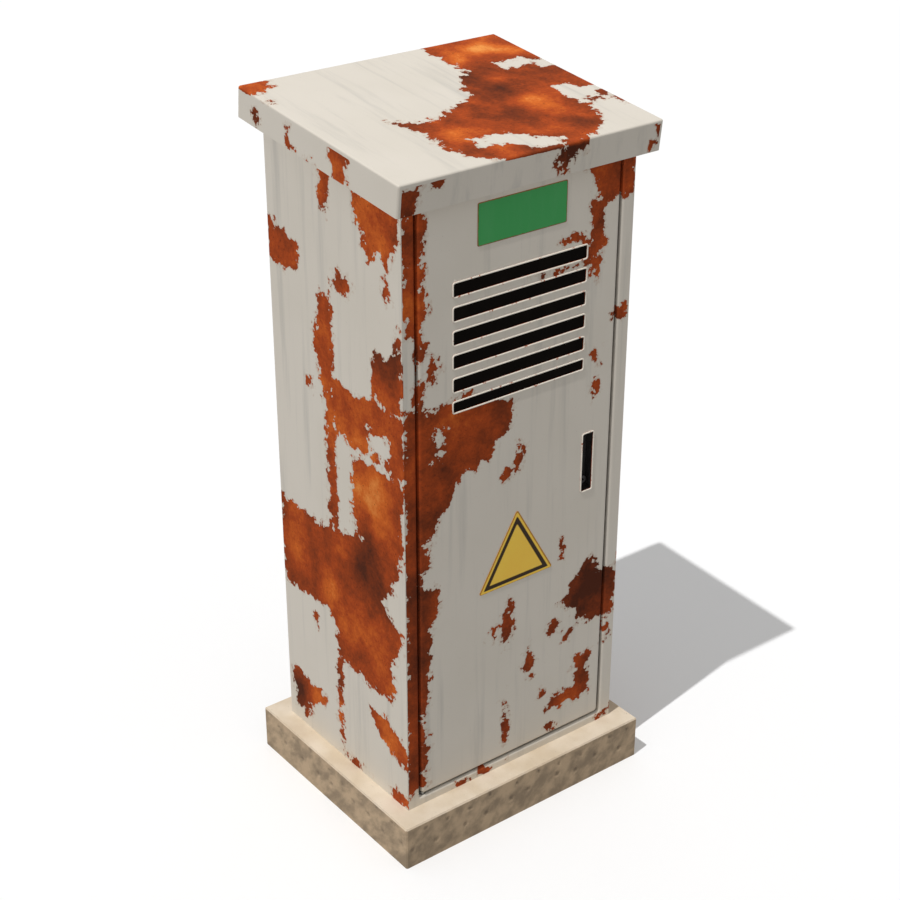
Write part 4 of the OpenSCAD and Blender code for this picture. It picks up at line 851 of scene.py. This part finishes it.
def make_floor():
    """Pale floor that looks white in the light, keeps the shadow and bounces a plain grey."""
    data = bpy.data.meshes.new("floor")
    signs = [(-1, -1), (1, -1), (1, 1), (-1, 1)]
    corners = [(across * FLOOR_HALF, along * FLOOR_HALF, 0) for across, along in signs]
    data.from_pydata(corners, [], [(0, 1, 2, 3)])
    floor = bpy.data.objects.new("floor", data)
    bpy.context.scene.collection.objects.link(floor)
    material = bpy.data.materials.new("floor_white")
    material.use_nodes = True
    tree = material.node_tree
    tree.nodes.clear()
    seen = seen_rays(tree)
    shade = tree.nodes.new("ShaderNodeMix")
    shade.data_type = "RGBA"
    shade.inputs[6].default_value = (FLOOR_BOUNCE, FLOOR_BOUNCE, FLOOR_BOUNCE, 1.0)
    shade.inputs[7].default_value = (FLOOR_WHITE, FLOOR_WHITE, FLOOR_WHITE, 1.0)
    tree.links.new(seen, shade.inputs[0])
    matt = tree.nodes.new("ShaderNodeBsdfDiffuse")
    tree.links.new(shade.outputs[2], matt.inputs["Color"])
    glow = tree.nodes.new("ShaderNodeEmission")
    share = tree.nodes.new("ShaderNodeMath")
    share.operation = "MULTIPLY"
    share.inputs[1].default_value = FLOOR_GLOW
    tree.links.new(seen, share.inputs[0])
    both = tree.nodes.new("ShaderNodeMixShader")
    tree.links.new(share.outputs[0], both.inputs[0])
    tree.links.new(matt.outputs[0], both.inputs[1])
    tree.links.new(glow.outputs[0], both.inputs[2])
    out = tree.nodes.new("ShaderNodeOutputMaterial")
    tree.links.new(both.outputs[0], out.inputs["Surface"])
    data.materials.append(material)
    return floor


def sunbeam(name):
    """One crisp sun from the upper left; gives its links, which choose what it lights."""
    lamp = bpy.data.lights.new(name, "SUN")
    lamp.energy = SUN_STRENGTH
    lamp.angle = math.radians(SUN_ANGLE)
    sun = bpy.data.objects.new(name, lamp)
    sun.rotation_mode = "QUATERNION"
    sun.rotation_quaternion = Vector(SUN_TRAVEL).to_track_quat("-Z", "Y")
    bpy.context.scene.collection.objects.link(sun)
    return sun.light_linking


def only(name, piece, state):
    """A set for a light that takes in or leaves out one piece."""
    group = bpy.data.collections.new(name)
    group.objects.link(piece)
    group.collection_objects[0].light_linking.link_state = state
    return group


def make_light(floor, roof):
    """Sun on the floor, the same sun on the cabinet with no shade from the eaves, and a plain sky."""
    sunbeam("floor_sun").receiver_collection = only("floor_lit", floor, "INCLUDE")
    links = sunbeam("cabinet_sun")
    links.receiver_collection = only("floor_unlit", floor, "EXCLUDE")
    links.blocker_collection = only("eaves_clear", roof, "EXCLUDE")
    world = bpy.data.worlds.new("sky")
    world.use_nodes = True
    tree = world.node_tree
    tree.nodes.clear()
    light = tree.nodes.new("ShaderNodeBackground")
    light.inputs["Color"].default_value = (1.0, 1.0, 1.0, 1.0)
    light.inputs["Strength"].default_value = SKY_STRENGTH
    white = tree.nodes.new("ShaderNodeBackground")
    white.inputs["Color"].default_value = (1.0, 1.0, 1.0, 1.0)
    white.inputs["Strength"].default_value = 1.0
    both = tree.nodes.new("ShaderNodeMixShader")
    tree.links.new(seen_rays(tree), both.inputs[0])
    tree.links.new(light.outputs[0], both.inputs[1])
    tree.links.new(white.outputs[0], both.inputs[2])
    out = tree.nodes.new("ShaderNodeOutputWorld")
    tree.links.new(both.outputs[0], out.inputs["Surface"])
    bpy.context.scene.world = world
    bpy.context.scene.view_settings.view_transform = "Standard"


def make_camera():
    """Camera at the photo's viewing angle."""
    lens = bpy.data.cameras.new("camera")
    lens.lens = CAMERA_LENS
    camera = bpy.data.objects.new("camera", lens)
    camera.location = CAMERA_AT
    camera.rotation_mode = "QUATERNION"
    camera.rotation_quaternion = (Vector(CAMERA_AIM) - Vector(CAMERA_AT)).to_track_quat("-Z", "Y")
    bpy.context.scene.collection.objects.link(camera)
    bpy.context.scene.camera = camera


make_camera()
sheltered = inner_paint()
roof_skin = dress_outside(sheltered)
dress_inside(sheltered)
make_light(make_floor(), roof_skin)

bpy.context.view_layer.update()
